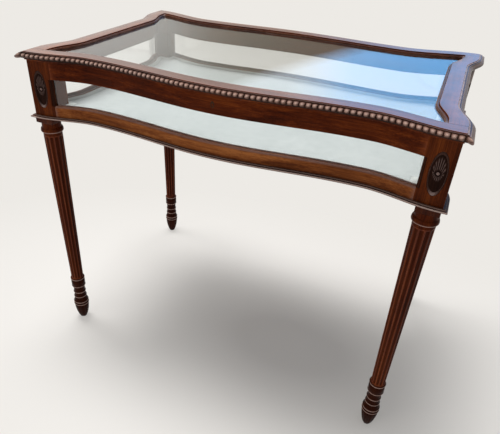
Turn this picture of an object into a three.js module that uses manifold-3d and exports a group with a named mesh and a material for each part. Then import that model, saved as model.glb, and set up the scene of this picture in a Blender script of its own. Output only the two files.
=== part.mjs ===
// Collectors display table: a glazed serpentine case with a hinged glazed lid, on four fluted legs.
// Lengths are millimetres. X runs along the front, the front faces -Y, Z is up and the floor is at z = 0.
import * as THREE from 'three';
import { mergeVertices } from 'three/addons/utils/BufferGeometryUtils.js';
import Module from 'manifold-3d';

const wasm = await Module();
wasm.setup();

// Overall sizes
const lidHalfWidth = 445;
const lidHalfDepth = 280;

// Heights from the floor upwards: leg, lower rail, window, upper rail and lid
const legHeight = 614.5;
const lowerRailHeight = 30.5;
const windowHeight = 59;
const upperRailHeight = 38;
const lidThickness = 17.7;

// Plan of the lid's flat top: how far each edge draws in behind its ears
const frontMiddleIn = 1;
const frontHollowIn = 26;
const frontHollowFromEnd = 150;
const rearMiddleIn = 23;
const rearHollowIn = 38;
const rearHollowFromEnd = 175;
const longEarLength = 5;
const sideHollowIn = 23;
const sideStraightFromEnd = 140;
const sideEarLength = 46;

// Where the long and the short edges change direction, as shares of the curve that they follow
const bulgeStationShares = [0, 0.17, 0.34, 0.51, 0.67, 0.83, 1];
const flareStationShares = [0.33, 0.66];
const sideStationShares = [0.25, 0.5, 0.75, 1];

// Clearances
const fitGap = 0.3;
const cutOverrun = 1;
const weldDistance = 0.0005;

// Case frame
const caseSetbackLong = 4;
const caseSetbackShort = 1.5;
const postWidth = 52.5;
const railThickness = 20;
const shoulderRound = 4.5;
const shoulderCornerShare = 0.3;
const rebateDepth = 5;
const paneThickness = 3;
const paneSetback = 8;
const paneTopGroove = 6;
const caseBeadWidth = 6.2;
const caseBeadHeight = 6.5;

// Floor of the case
const boardThickness = 6;
const boardLift = 1.5;
const boardLip = 12;
const padHeight = 15;
const padRimWidth = 13;
const padRimHeight = 3;
const padGap = 0.5;

// Base moulding round the case
const baseReedOut = 8.8;
const baseReedHeight = 3.6;
const baseUpperReedOut = 5;
const baseUpperReedHeight = 2.4;
const reedShares = [[0.86, 0], [1, 0.22], [1, 0.72], [0.84, 0.96]];

// Lid frame, glass and trim
const lidRailWidth = 30;
const lidSideRailWidth = 31.5;
const lidGlassThickness = 4;
const lidGlassDrop = 7;
const lidGlassGap = 1;
const filletWidth = 6;
const filletHeight = 4.2;
const filletRound = 1.6;
const underBeadWidth = 7;
const underBeadHeight = 5.6;

// Lid edge mouldings
const edgeTopDrop = 1.2;
const edgeHeight = 12.8;
const edgeBackThickness = 3.2;
const sideEdgeOut = 13;
const sideEdgeShares = [
  [0.62, 0], [0.98, 0.14], [1, 0.4], [0.86, 0.56], [0.8, 0.62], [0.5, 0.86], [0.3, 0.9], [0.24, 1],
];
const beadPitch = 11.1;
const beadOut = 7.5;
const beadRadius = 4.3;
const beadDrop = 7.6;
const beadNoseShare = 0.88;
const beadWaistShare = 0.3;
const beadFlatShare = 0.55;

// Legs: the foot and the head are turned, the shaft between them is fluted, the very top is square
const legInsetX = 23;
const legInsetY = 18.5;
const legFlutes = 12;
const footHeight = 146;
const footRadius = 20;
const footProfileShares = [
  [0, 0.38], [0.011, 0.44], [0.08, 0.65], [0.18, 0.84], [0.29, 0.95], [0.345, 0.98], [0.365, 1.02],
  [0.385, 0.96], [0.43, 1], [0.475, 0.91], [0.525, 0.8], [0.545, 0.86], [0.57, 0.78], [0.635, 0.77],
  [0.655, 0.83], [0.68, 0.75], [0.79, 0.76], [0.81, 0.84], [0.97, 0.86], [0.985, 0.91], [1, 0.86],
];
const headHeight = 42.5;
const shaftBottomRadius = 15.7;
const shaftTopRadius = 21.4;
const fluteDepth = 2.2;
const fluteRunout = 6;
const headRadius = 25.3;
const headProfileShares = [
  [0.17, 0.85], [0.19, 0.95], [0.26, 1], [0.33, 0.985], [0.4, 0.93], [0.45, 0.87], [0.72, 0.86],
];
const squareHeight = 12;
const squareHalfWidth = 22;
const spigotRadius = 12;
const spigotLength = 32;

// Carved ovals on the front posts
const ovalHalfWidth = 15.5;
const ovalHalfHeight = 41;
const ovalDrop = 63;
const ovalFromWindow = 28.5;
const ovalSink = 2.4;
const ovalRimRise = 0.9;
const ovalSegments = 24;
const ovalProfileShares = [
  [0.999, 0.6], [0.96, 1], [0.88, 1], [0.82, 0.55], [0.45, 0.45], [0.26, 0.6], [0.2, 0.95],
];

// Hinges, let into the tops of the rear posts
const hingeLength = 40;
const hingeFromCorner = 26;
const leafDepth = 24;
const leafThickness = 1.6;
const leafSink = 0.1;
const knuckleRadius = 3.2;
const knuckleDrop = 3.5;
const knuckleStandoff = 3.5;
const knuckleBoreRadius = 1.5;
const knuckleNeckFrom = 1.8;
const hingePinRadius = 1.2;
const pinHeadRadius = 2.5;
const pinHeadLength = 1.6;
const middleKnuckleLength = 13.4;
const roundSides = 12;

// Lock in the front upper rail, its bolt, the plate in the lid and the keyhole
const lockWidth = 48;
const lockDepth = 9;
const lockHeight = 26;
const lockPocketWidth = 41.4;
const lockPocketDepth = 5;
const lockPocketHeight = 13;
const boltTravel = 3.2;
const boltBarHeight = 2.4;
const tongueHeight = 2.7;
const tongueLength = 6;
const hookAt = 9;
const hookShank = 3;
const hookNose = 3;
const hookNoseHeight = 2;
const hookThickness = 3;
const linkPlateWidth = 44;
const linkPlateDepth = 8;
const keyholeDrop = 19;
const escutcheonHalfWidth = 4.2;
const escutcheonHalfHeight = 7;
const escutcheonDepth = 2;
const keyholeRadius = 2;
const keySlotWidth = 2;
const keySlotDrop = 4.4;

// Heights and places that follow from the sizes above
const windowBottom = legHeight + lowerRailHeight;
const windowTop = windowBottom + windowHeight;
const caseTop = windowTop + upperRailHeight;
const lidBottom = caseTop + fitGap;
const tableHeight = lidBottom + lidThickness;
const edgeTop = tableHeight - edgeTopDrop;
const edgeBottom = edgeTop - edgeHeight;
const lidGlassTop = tableHeight - lidGlassDrop;
const beadMiddle = tableHeight - beadDrop;
const ovalMiddle = caseTop - ovalDrop;
const keyholeMiddle = caseTop - keyholeDrop;
const longEarAt = lidHalfWidth - longEarLength;
const frontHollowAt = lidHalfWidth - frontHollowFromEnd;
const rearHollowAt = lidHalfWidth - rearHollowFromEnd;
const sideEarAt = lidHalfDepth - sideEarLength;
const sideStraightTo = lidHalfDepth - sideStraightFromEnd;
const caseFaceX = lidHalfWidth - caseSetbackShort;
const caseFaceY = lidHalfDepth - caseSetbackLong;
const postInnerX = caseFaceX - postWidth;
const postInnerY = caseFaceY - postWidth;
const rebateFloor = windowBottom - rebateDepth;
const boardBottom = legHeight + boardLift;
const boardTop = boardBottom + boardThickness;
const padBottom = boardTop + fitGap;
const legAxisX = caseFaceX - legInsetX;
const legAxisY = caseFaceY - legInsetY;
const shaftBottom = footHeight;
const shaftTop = legHeight - headHeight;
const squareBottom = legHeight - squareHeight;

// Wood, glass, brass and cloth
const mahogany = { color: 0x55220f, roughness: 0.28, metalness: 0 };
const mahoganyDark = { color: 0x42190c, roughness: 0.3, metalness: 0 };
const underside = { color: 0x6b4426, roughness: 0.7, metalness: 0 };
const brass = { color: 0xa8843f, roughness: 0.35, metalness: 1 };
const glass = { color: 0xdfe9e6, roughness: 0.05, metalness: 0, transparent: true, opacity: 0.3 };
const cloth = { color: 0xd6ddd9, roughness: 0.95, metalness: 0 };

const table = new THREE.Group();

function piece(name, geometry, finish, parent = table) {
  const mesh = new THREE.Mesh(geometry, new THREE.MeshStandardMaterial(finish));
  mesh.name = name;
  parent.add(mesh);
  return mesh;
}

// Curves of the plan

function ease(share) {
  return (1 - Math.cos(Math.PI * share)) / 2;
}

function drawnIn(along, middleIn, hollowIn, hollowAt, earAt) {
  const at = Math.abs(along);
  if (at >= earAt) return 0;
  if (at >= hollowAt) return hollowIn * ease((earAt - at) / (earAt - hollowAt));
  return middleIn + (hollowIn - middleIn) * ease(at / hollowAt);
}

function mirrored(values) {
  const negatives = values.filter((value) => value > 0).map((value) => -value).reverse();
  return [...negatives, ...values];
}

function between(low, high, share) {
  return low + (high - low) * share;
}

function longStations(hollowAt) {
  const bulge = bulgeStationShares.map((share) => share * hollowAt);
  const flare = flareStationShares.map((share) => between(hollowAt, longEarAt, share));
  return mirrored([...bulge, ...flare, longEarAt]);
}

const sideStations = mirrored([
  0,
  sideStraightTo,
  ...sideStationShares.map((share) => between(sideStraightTo, sideEarAt, share)),
]);

// Straight chords between the stations, so that pieces which lie side by side share every corner
function chords(stations, curve) {
  const values = stations.map(curve);
  const last = stations.length - 1;
  return (at) => {
    if (at <= stations[0]) return values[0];
    if (at >= stations[last]) return values[last];
    const next = stations.findIndex((station) => station > at);
    const share = (at - stations[next - 1]) / (stations[next] - stations[next - 1]);
    return between(values[next - 1], values[next], share);
  };
}

const frontStations = longStations(frontHollowAt);
const rearStations = longStations(rearHollowAt);
const frontLine = chords(
  frontStations,
  (x) => lidHalfDepth - drawnIn(x, frontMiddleIn, frontHollowIn, frontHollowAt, longEarAt),
);
const rearLine = chords(
  rearStations,
  (x) => lidHalfDepth - drawnIn(x, rearMiddleIn, rearHollowIn, rearHollowAt, longEarAt),
);
const sideLine = chords(
  sideStations,
  (y) => lidHalfWidth - drawnIn(y, sideHollowIn, sideHollowIn, sideStraightTo, sideEarAt),
);

// Each side: its line on plan, its stations, and the place of a point at a given distance from the middle
const sides = {
  front: {
    line: frontLine,
    stations: frontStations,
    setback: caseSetbackLong,
    railWidth: lidRailWidth,
    place: (along, away, z) => new THREE.Vector3(along, -away, z),
  },
  rear: {
    line: rearLine,
    stations: rearStations,
    setback: caseSetbackLong,
    railWidth: lidRailWidth,
    place: (along, away, z) => new THREE.Vector3(along, away, z),
  },
  left: {
    line: sideLine,
    stations: sideStations,
    setback: caseSetbackShort,
    railWidth: lidSideRailWidth,
    place: (along, away, z) => new THREE.Vector3(-away, along, z),
  },
  right: {
    line: sideLine,
    stations: sideStations,
    setback: caseSetbackShort,
    railWidth: lidSideRailWidth,
    place: (along, away, z) => new THREE.Vector3(away, along, z),
  },
};

function isLong(name) {
  return name === 'front' || name === 'rear';
}

// Solids

function signedVolume(positions, triangles) {
  let sum = 0;
  const cross = new THREE.Vector3();
  for (const [a, b, c] of triangles) sum += positions[a].dot(cross.crossVectors(positions[b], positions[c]));
  return sum;
}

function closedGeometry(positions, triangles) {
  const flipped = signedVolume(positions, triangles) < 0;
  const geometry = new THREE.BufferGeometry();
  const values = positions.flatMap((point) => point.toArray());
  geometry.setAttribute('position', new THREE.Float32BufferAttribute(values, 3));
  geometry.setIndex(triangles.flatMap(([a, b, c]) => (flipped ? [a, c, b] : [a, b, c])));
  geometry.computeVertexNormals();
  return geometry;
}

// A closed solid through a row of sections that all have the corners of one outline
function loft(sections, outline) {
  const corners = outline.length;
  const positions = sections.flat();
  const triangles = [];
  for (let row = 0; row + 1 < sections.length; row += 1) {
    for (let corner = 0; corner < corners; corner += 1) {
      const a = row * corners + corner;
      const b = row * corners + ((corner + 1) % corners);
      triangles.push([a, b, b + corners], [a, b + corners, a + corners]);
    }
  }
  const cap = THREE.ShapeUtils.triangulateShape(outline.map(([u, v]) => new THREE.Vector2(u, v)), []);
  const capTurn = Math.sign(THREE.ShapeUtils.area(outline.map(([u, v]) => new THREE.Vector2(u, v))));
  const last = (sections.length - 1) * corners;
  for (const [a, b, c] of cap) {
    const loop = capTurn * triangleTurn(outline, a, b, c) > 0 ? [a, b, c] : [a, c, b];
    triangles.push([loop[0], loop[2], loop[1]]);
    triangles.push([last + loop[0], last + loop[1], last + loop[2]]);
  }
  return closedGeometry(positions, triangles);
}

function triangleTurn(outline, a, b, c) {
  const [ax, ay] = outline[a];
  const [bx, by] = outline[b];
  const [cx, cy] = outline[c];
  return (bx - ax) * (cy - ay) - (by - ay) * (cx - ax);
}

function stationsWithin(side, from, to) {
  return side.stations.filter((station) => station > from + weldDistance && station < to - weldDistance);
}

// A strip along one side; its profile gives how far out from the line each corner lies, and its height.
// With a mitre, each corner runs on at the ends by its distance out.
function strip(side, profile, from, to, mitre = false) {
  const inner = stationsWithin(side, from, to);
  const endExtra = (out) => (mitre ? out : 0);
  const section = (alongFor) => profile.map(([out, z]) => {
    const along = alongFor(out);
    return side.place(along, side.line(along) + out, z);
  });
  return loft(
    [
      section((out) => from - endExtra(out)),
      ...inner.map((station) => section(() => station)),
      section((out) => to + endExtra(out)),
    ],
    profile,
  );
}

function extrudedPlan(points, bottom, top) {
  const outline = new THREE.Shape(points.map(([x, y]) => new THREE.Vector2(x, y)));
  const geometry = new THREE.ExtrudeGeometry(outline, { depth: top - bottom, bevelEnabled: false });
  geometry.translate(0, 0, bottom);
  return geometry;
}

function block(x, y, z) {
  const geometry = new THREE.BoxGeometry(x[1] - x[0], y[1] - y[0], z[1] - z[0]);
  geometry.translate((x[0] + x[1]) / 2, (y[0] + y[1]) / 2, (z[0] + z[1]) / 2);
  return geometry;
}

// A round bar along X
function bar(radius, from, to, y, z) {
  const geometry = new THREE.CylinderGeometry(radius, radius, to - from, roundSides);
  geometry.rotateZ(Math.PI / 2);
  geometry.translate((from + to) / 2, y, z);
  return geometry;
}

function toSolid(geometry) {
  const bare = geometry.clone();
  bare.deleteAttribute('normal');
  bare.deleteAttribute('uv');
  const merged = mergeVertices(bare, weldDistance);
  return new wasm.Manifold(new wasm.Mesh({
    numProp: 3,
    vertProperties: merged.attributes.position.array,
    triVerts: new Uint32Array(merged.index.array),
  }));
}

function fromSolid(solid) {
  const mesh = solid.getMesh();
  const geometry = new THREE.BufferGeometry();
  geometry.setAttribute('position', new THREE.Float32BufferAttribute(mesh.vertProperties, 3));
  geometry.setIndex(Array.from(mesh.triVerts));
  geometry.computeVertexNormals();
  return geometry;
}

function cut(geometry, ...cutters) {
  return fromSolid(cutters.reduce((solid, cutter) => solid.subtract(toSolid(cutter)), toSolid(geometry)));
}

function joined(...geometries) {
  return fromSolid(geometries.map(toSolid).reduce((sum, solid) => sum.add(solid)));
}

// Plans that keep inside the case faces and step round the corner posts

function notchedPlan(inset) {
  const cornerX = postInnerX - padGap;
  const cornerY = postInnerY - padGap;
  const run = (side, reach) => {
    const inner = side.stations.filter((station) => Math.abs(station) < reach - weldDistance);
    return [-reach, ...inner, reach].map((along) => [along, side.line(along) - side.setback - inset]);
  };
  const front = run(sides.front, cornerX).map(([x, away]) => [x, -away]);
  const right = run(sides.right, cornerY).map(([y, away]) => [away, y]);
  const rear = run(sides.rear, cornerX).reverse();
  const left = run(sides.left, cornerY).map(([y, away]) => [-away, y]).reverse();
  return [
    ...front, [cornerX, -cornerY], ...right, [cornerX, cornerY],
    ...rear, [-cornerX, cornerY], ...left, [-cornerX, -cornerY],
  ];
}

// Corner of the lid's opening, where the inner edges of two rails cross
const cornerSteps = 6;

function openingCorner(side) {
  const corner = { x: lidHalfWidth - lidSideRailWidth, away: 0 };
  for (let step = 0; step < cornerSteps; step += 1) {
    corner.away = side.line(corner.x) - lidRailWidth;
    corner.x = sides.right.line(corner.away) - lidSideRailWidth;
  }
  return corner;
}

const opening = { front: openingCorner(sides.front), rear: openingCorner(sides.rear) };

function lidPlan(inset) {
  const run = (side, from, to, width) => {
    const inner = stationsWithin(side, from, to);
    return [from, ...inner, to].map((along) => [along, side.line(along) - width - inset]);
  };
  const frontY = opening.front.away - inset;
  const rearY = opening.rear.away - inset;
  const side = run(sides.right, -frontY, rearY, lidSideRailWidth);
  const frontX = side[0][1];
  const rearX = side[side.length - 1][1];
  const front = run(sides.front, -frontX, frontX, lidRailWidth).slice(1, -1).map(([x, away]) => [x, -away]);
  const rear = run(sides.rear, -rearX, rearX, lidRailWidth).slice(1, -1).reverse();
  const right = side.map(([y, away]) => [away, y]);
  const left = side.map(([y, away]) => [-away, y]).reverse();
  return [...front, ...right, ...rear, ...left];
}

// Legs

function ring(z, radius, depth) {
  const corners = [];
  for (let corner = 0; corner < legFlutes * 2; corner += 1) {
    const angle = (Math.PI * corner) / legFlutes;
    const reach = radius - (corner % 2 === 1 ? depth : 0);
    corners.push(new THREE.Vector3(reach * Math.cos(angle), reach * Math.sin(angle), z));
  }
  return corners;
}

function squareRing(z, halfWidth) {
  return ring(z, 1, 0).map((corner) => {
    const reach = halfWidth / Math.max(Math.abs(corner.x), Math.abs(corner.y));
    return new THREE.Vector3(corner.x * reach, corner.y * reach, z);
  });
}

function legGeometry() {
  const foot = footProfileShares.map(([height, radius]) => [height * footHeight, radius * footRadius]);
  const rings = foot.map(([z, radius]) => ring(z, radius, 0));
  const shaftShare = (z) => (z - shaftBottom) / (shaftTop - shaftBottom);
  const shaftRadius = (z) => between(shaftBottomRadius, shaftTopRadius, shaftShare(z));
  rings.push(ring(shaftBottom, shaftRadius(shaftBottom), 0));
  rings.push(ring(shaftBottom + fluteRunout, shaftRadius(shaftBottom + fluteRunout), fluteDepth));
  rings.push(ring(shaftTop - fluteRunout, shaftRadius(shaftTop - fluteRunout), fluteDepth));
  rings.push(ring(shaftTop, shaftTopRadius, 0));
  for (const [height, radius] of headProfileShares) {
    rings.push(ring(between(shaftTop, legHeight, height), radius * headRadius, 0));
  }
  rings.push(squareRing(squareBottom, squareHalfWidth), squareRing(legHeight, squareHalfWidth));
  rings.push(ring(legHeight, spigotRadius, 0), ring(legHeight + spigotLength, spigotRadius, 0));
  return loft(rings, rings[0].map((corner) => [corner.x, corner.y]));
}

const cornerNames = [
  ['front_left', -1, -1],
  ['front_right', 1, -1],
  ['rear_left', -1, 1],
  ['rear_right', 1, 1],
];

for (const [corner, alongX, alongY] of cornerNames) {
  const leg = piece(`leg_${corner}`, legGeometry(), mahogany);
  leg.position.set(alongX * legAxisX, alongY * legAxisY, 0);
}

// Hinges: places shared by the leaves, the pins and the cuts in the wood

const hingeX = caseFaceX - hingeFromCorner;
const hingeAxisY = caseFaceY + knuckleStandoff;
const hingeAxisZ = caseTop - knuckleDrop;
const leafFront = caseFaceY - leafDepth;
const caseLeafTop = caseTop - leafSink;

// Corner posts: straight on the long side, with an ear and the start of the hollow on the short side

function ovalCylinder(halfWidth, halfHeight, depth) {
  const geometry = new THREE.CylinderGeometry(1, 1, 1, ovalSegments);
  geometry.scale(halfWidth, depth, halfHeight);
  return geometry;
}

function ovalSeat(alongX) {
  const nearWindow = sides.front.line(postInnerX) - caseSetbackLong;
  const nearCorner = sides.front.line(caseFaceX) - caseSetbackLong;
  const slope = (nearCorner - nearWindow) / postWidth;
  const seat = new THREE.Group();
  seat.position.set(
    alongX * (postInnerX + ovalFromWindow),
    -(nearWindow + slope * ovalFromWindow),
    ovalMiddle,
  );
  seat.rotation.z = -alongX * Math.atan(slope);
  seat.updateMatrixWorld(true);
  return seat;
}

function postPlan(longSide, alongX, alongY) {
  const shortSide = sides.right;
  const stations = shortSide.stations.filter((station) => station > postInnerY && station < caseFaceY);
  const flank = [caseFaceY, ...stations.reverse(), postInnerY]
    .map((y) => [shortSide.line(y) - caseSetbackShort, y]);
  const nearWindow = [postInnerX, longSide.line(postInnerX) - caseSetbackLong];
  const plan = [nearWindow, ...flank, [postInnerX, postInnerY]];
  return plan.map(([x, y]) => [alongX * x, alongY * y]);
}

for (const [corner, alongX, alongY] of cornerNames) {
  const isFront = alongY < 0;
  const body = extrudedPlan(postPlan(isFront ? sides.front : sides.rear, alongX, alongY), legHeight, caseTop);
  const bore = new THREE.CylinderGeometry(
    spigotRadius + fitGap * 2,
    spigotRadius + fitGap * 2,
    spigotLength + fitGap + cutOverrun,
    legFlutes * 2,
  );
  bore.rotateX(Math.PI / 2);
  bore.translate(
    alongX * legAxisX,
    alongY * legAxisY,
    legHeight + (spigotLength + fitGap - cutOverrun) / 2,
  );
  const cutters = [bore];
  if (isFront) {
    const seat = ovalSeat(alongX);
    const sink = ovalCylinder(ovalHalfWidth + fitGap, ovalHalfHeight + fitGap, ovalSink * 2);
    cutters.push(sink.applyMatrix4(seat.matrixWorld));
  } else {
    cutters.push(block(
      [alongX * hingeX - hingeLength / 2 - fitGap, alongX * hingeX + hingeLength / 2 + fitGap],
      [leafFront - fitGap, caseFaceY + cutOverrun],
      [caseLeafTop - leafThickness - fitGap, caseTop + cutOverrun],
    ));
  }
  piece(`corner_post_${corner}`, cut(body, ...cutters), mahogany);
}

// Carved ovals, turned and then narrowed, sunk into the front posts

function ovalGeometry() {
  const thickness = ovalSink - fitGap + ovalRimRise;
  const profile = [
    new THREE.Vector2(0, 0),
    new THREE.Vector2(1, 0),
    ...ovalProfileShares.map(([radius, rise]) => new THREE.Vector2(radius, rise * thickness)),
    new THREE.Vector2(0, thickness),
  ];
  const geometry = new THREE.LatheGeometry(profile, ovalSegments);
  geometry.scale(ovalHalfWidth, 1, ovalHalfHeight);
  geometry.rotateX(Math.PI);
  geometry.translate(0, ovalSink - fitGap, 0);
  return geometry;
}

for (const [corner, alongX] of [['left', -1], ['right', 1]]) {
  const seat = ovalSeat(alongX);
  table.add(seat);
  piece(`carved_oval_${corner}`, ovalGeometry(), mahoganyDark, seat);
}

// Case rails, panes and the beads that hold the panes

function shifted(profile, out) {
  return profile.map(([from, z]) => [from + out, z]);
}

const paneGroove = [paneSetback - fitGap, paneSetback + paneThickness + fitGap];

const upperRailProfile = [
  [0, windowTop], [-paneGroove[0], windowTop],
  [-paneGroove[0], windowTop + paneTopGroove], [-paneGroove[1], windowTop + paneTopGroove],
  [-paneGroove[1], windowTop], [-railThickness, windowTop],
  [-railThickness, caseTop], [0, caseTop],
];

const lowerRailProfile = [
  [0, legHeight], [-boardLip, legHeight],
  [-boardLip, boardTop + fitGap], [-railThickness, boardTop + fitGap],
  [-railThickness, rebateFloor], [-paneGroove[0], rebateFloor],
  [-paneGroove[0], windowBottom], [-shoulderRound, windowBottom],
  [-shoulderRound * shoulderCornerShare, windowBottom - shoulderRound * shoulderCornerShare],
  [0, windowBottom - shoulderRound],
];

const paneProfile = [
  [-paneSetback, rebateFloor + fitGap], [-paneSetback - paneThickness, rebateFloor + fitGap],
  [-paneSetback - paneThickness, windowTop + paneTopGroove - fitGap],
  [-paneSetback, windowTop + paneTopGroove - fitGap],
];

const caseBeadProfile = [
  [-paneGroove[1], rebateFloor], [-paneGroove[1] - caseBeadWidth, rebateFloor],
  [-paneGroove[1] - caseBeadWidth, rebateFloor + caseBeadHeight / 2],
  [-paneGroove[1] - caseBeadWidth / 2, rebateFloor + caseBeadHeight],
  [-paneGroove[1], rebateFloor + caseBeadHeight],
];

function lockCuts() {
  const inner = sides.front.line(0) - caseSetbackLong - railThickness;
  const mortise = block(
    [-lockWidth / 2 - fitGap, lockWidth / 2 + fitGap],
    [-(inner + fitGap + lockDepth + fitGap), -(inner - railThickness)],
    [caseTop - fitGap - lockHeight - fitGap, caseTop + cutOverrun],
  );
  const keyway = new THREE.CylinderGeometry(keyholeRadius, keyholeRadius, railThickness * 2, roundSides);
  keyway.translate(0, -(inner + railThickness), keyholeMiddle);
  const seat = ovalCylinder(
    escutcheonHalfWidth + fitGap,
    escutcheonHalfHeight + fitGap,
    escutcheonDepth * 2 + fitGap,
  );
  seat.translate(0, -(inner + railThickness), keyholeMiddle);
  return [mortise, keyway, seat];
}

for (const [name, side] of Object.entries(sides)) {
  const reach = isLong(name) ? postInnerX : postInnerY;
  const upper = strip(side, shifted(upperRailProfile, -side.setback), -reach, reach);
  piece(`upper_rail_${name}`, name === 'front' ? cut(upper, ...lockCuts()) : upper, mahogany);
  piece(`lower_rail_${name}`, strip(side, shifted(lowerRailProfile, -side.setback), -reach, reach), mahogany);
  const free = reach - fitGap;
  piece(`window_${name}`, strip(side, shifted(paneProfile, -side.setback), -free, free), glass);
  piece(`window_bead_${name}`, strip(side, shifted(caseBeadProfile, -side.setback), -free, free), mahogany);
}

// Base moulding: two reeds, one over the other, mitred at the corners

const baseMouldingProfile = [
  [fitGap, legHeight],
  ...reedShares.map(([out, height]) => [out * baseReedOut, legHeight + height * baseReedHeight]),
  ...reedShares.map(([out, height]) => [
    out * baseUpperReedOut,
    legHeight + baseReedHeight + height * baseUpperReedHeight,
  ]),
  [fitGap, legHeight + baseReedHeight + baseUpperReedHeight],
];

for (const [name, side] of Object.entries(sides)) {
  const reach = (isLong(name) ? caseFaceX : caseFaceY) - fitGap;
  const onCase = { ...side, line: (along) => side.line(along) - side.setback };
  piece(`base_moulding_${name}`, strip(onCase, baseMouldingProfile, -reach, reach, true), mahoganyDark);
}

// Floor board and the padded lining with its raised rim

piece('floor_board', extrudedPlan(notchedPlan(boardLip + padGap), boardBottom, boardTop), underside);

const padInset = railThickness + padGap;
const padTop = padBottom + padHeight;
piece(
  'lining_pad',
  cut(
    extrudedPlan(notchedPlan(padInset), padBottom, padTop + padRimHeight),
    extrudedPlan(notchedPlan(padInset + padRimWidth), padTop, padTop + padRimHeight + cutOverrun),
  ),
  cloth,
);

// Lid rails: the long rails run through, the short ones butt between them

function longLidRail(name) {
  const side = sides[name];
  const corner = opening[name];
  const flankStations = sideStations.filter((station) => station > corner.away && station < lidHalfDepth);
  const flank = [...flankStations.reverse(), corner.away].map((away) => [sideLine(away), away]);
  const half = [...flank, [corner.x, corner.away]];
  const outer = side.stations.filter((x) => Math.abs(x) < lidHalfWidth).map((x) => [x, side.line(x)]);
  const inner = side.stations
    .filter((x) => Math.abs(x) < corner.x - weldDistance)
    .map((x) => [x, side.line(x) - lidRailWidth])
    .reverse();
  const plan = [
    [-lidHalfWidth, lidHalfDepth], ...outer, [lidHalfWidth, lidHalfDepth],
    ...half,
    ...inner,
    ...half.map(([x, away]) => [-x, away]).reverse(),
  ];
  const corners = plan.map(([along, away]) => side.place(along, away, lidBottom));
  return extrudedPlan(corners.map((point) => [point.x, point.y]), lidBottom, tableHeight);
}

function leafSeat(alongX) {
  return block(
    [alongX * hingeX - hingeLength / 2 - fitGap, alongX * hingeX + hingeLength / 2 + fitGap],
    [leafFront - fitGap, lidHalfDepth + cutOverrun],
    [lidBottom - cutOverrun, lidBottom + leafThickness + fitGap],
  );
}

const lockMiddle = sides.front.line(0) - caseSetbackLong - railThickness + fitGap + lockDepth / 2;
const linkPlateSeat = block(
  [-linkPlateWidth / 2 - fitGap, linkPlateWidth / 2 + fitGap],
  [-(lockMiddle + linkPlateDepth / 2 + fitGap), -(lockMiddle - linkPlateDepth / 2 - fitGap)],
  [lidBottom - cutOverrun, lidBottom + leafThickness + fitGap],
);

piece('lid_rail_front', cut(longLidRail('front'), linkPlateSeat), mahogany);
piece('lid_rail_rear', cut(longLidRail('rear'), leafSeat(-1), leafSeat(1)), mahogany);

const sideLidRailProfile = [
  [0, lidBottom], [-lidSideRailWidth, lidBottom], [-lidSideRailWidth, tableHeight], [0, tableHeight],
];
for (const name of ['left', 'right']) {
  const rail = strip(sides[name], sideLidRailProfile, -opening.front.away, opening.rear.away);
  piece(`lid_rail_${name}`, rail, mahogany);
}

// Lid glass, the fillets over its edge and the beads that hold it from below

piece(
  'lid_glass',
  extrudedPlan(lidPlan(lidGlassGap), lidGlassTop - lidGlassThickness, lidGlassTop),
  glass,
);

const filletTop = lidGlassTop + filletHeight;
const filletProfile = [
  [-fitGap, lidGlassTop], [-filletWidth, lidGlassTop],
  [-filletWidth, filletTop - filletRound * 2], [-filletWidth + filletRound, filletTop], [-fitGap, filletTop],
];
const underBeadTop = lidGlassTop - lidGlassThickness;
const underBeadProfile = [
  [-fitGap, underBeadTop], [-underBeadWidth, underBeadTop],
  [-underBeadWidth, underBeadTop - underBeadHeight / 2],
  [-underBeadWidth / 2, underBeadTop - underBeadHeight],
  [-fitGap, underBeadTop - underBeadHeight],
];

function openingStrip(name, profile, width) {
  const side = sides[name];
  const inLid = shifted(profile, -side.railWidth);
  if (isLong(name)) {
    const clear = sideLine(opening[name].away - width) - lidSideRailWidth - fitGap;
    return strip(side, inLid, -clear, clear);
  }
  const endAt = (long) => sides[long].line(opening[long].x - width) - lidRailWidth - width - fitGap;
  return strip(side, inLid, -endAt('front'), endAt('rear'));
}

for (const name of Object.keys(sides)) {
  piece(`lid_fillet_${name}`, openingStrip(name, filletProfile, filletWidth), mahogany);
  piece(`lid_under_bead_${name}`, openingStrip(name, underBeadProfile, underBeadWidth), mahogany);
}

// Lid edge mouldings: moulded on three sides, a string of beads along the front, all mitred at the corners

const plainEdgeProfile = [
  [fitGap, edgeBottom],
  ...sideEdgeShares.map(([out, height]) => [out * sideEdgeOut, between(edgeBottom, edgeTop, height)]),
  [fitGap, edgeTop],
];

for (const name of ['rear', 'left', 'right']) {
  const reach = (isLong(name) ? lidHalfWidth : lidHalfDepth) - fitGap;
  piece(`lid_moulding_${name}`, strip(sides[name], plainEdgeProfile, -reach, reach, true), mahogany);
}

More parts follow.
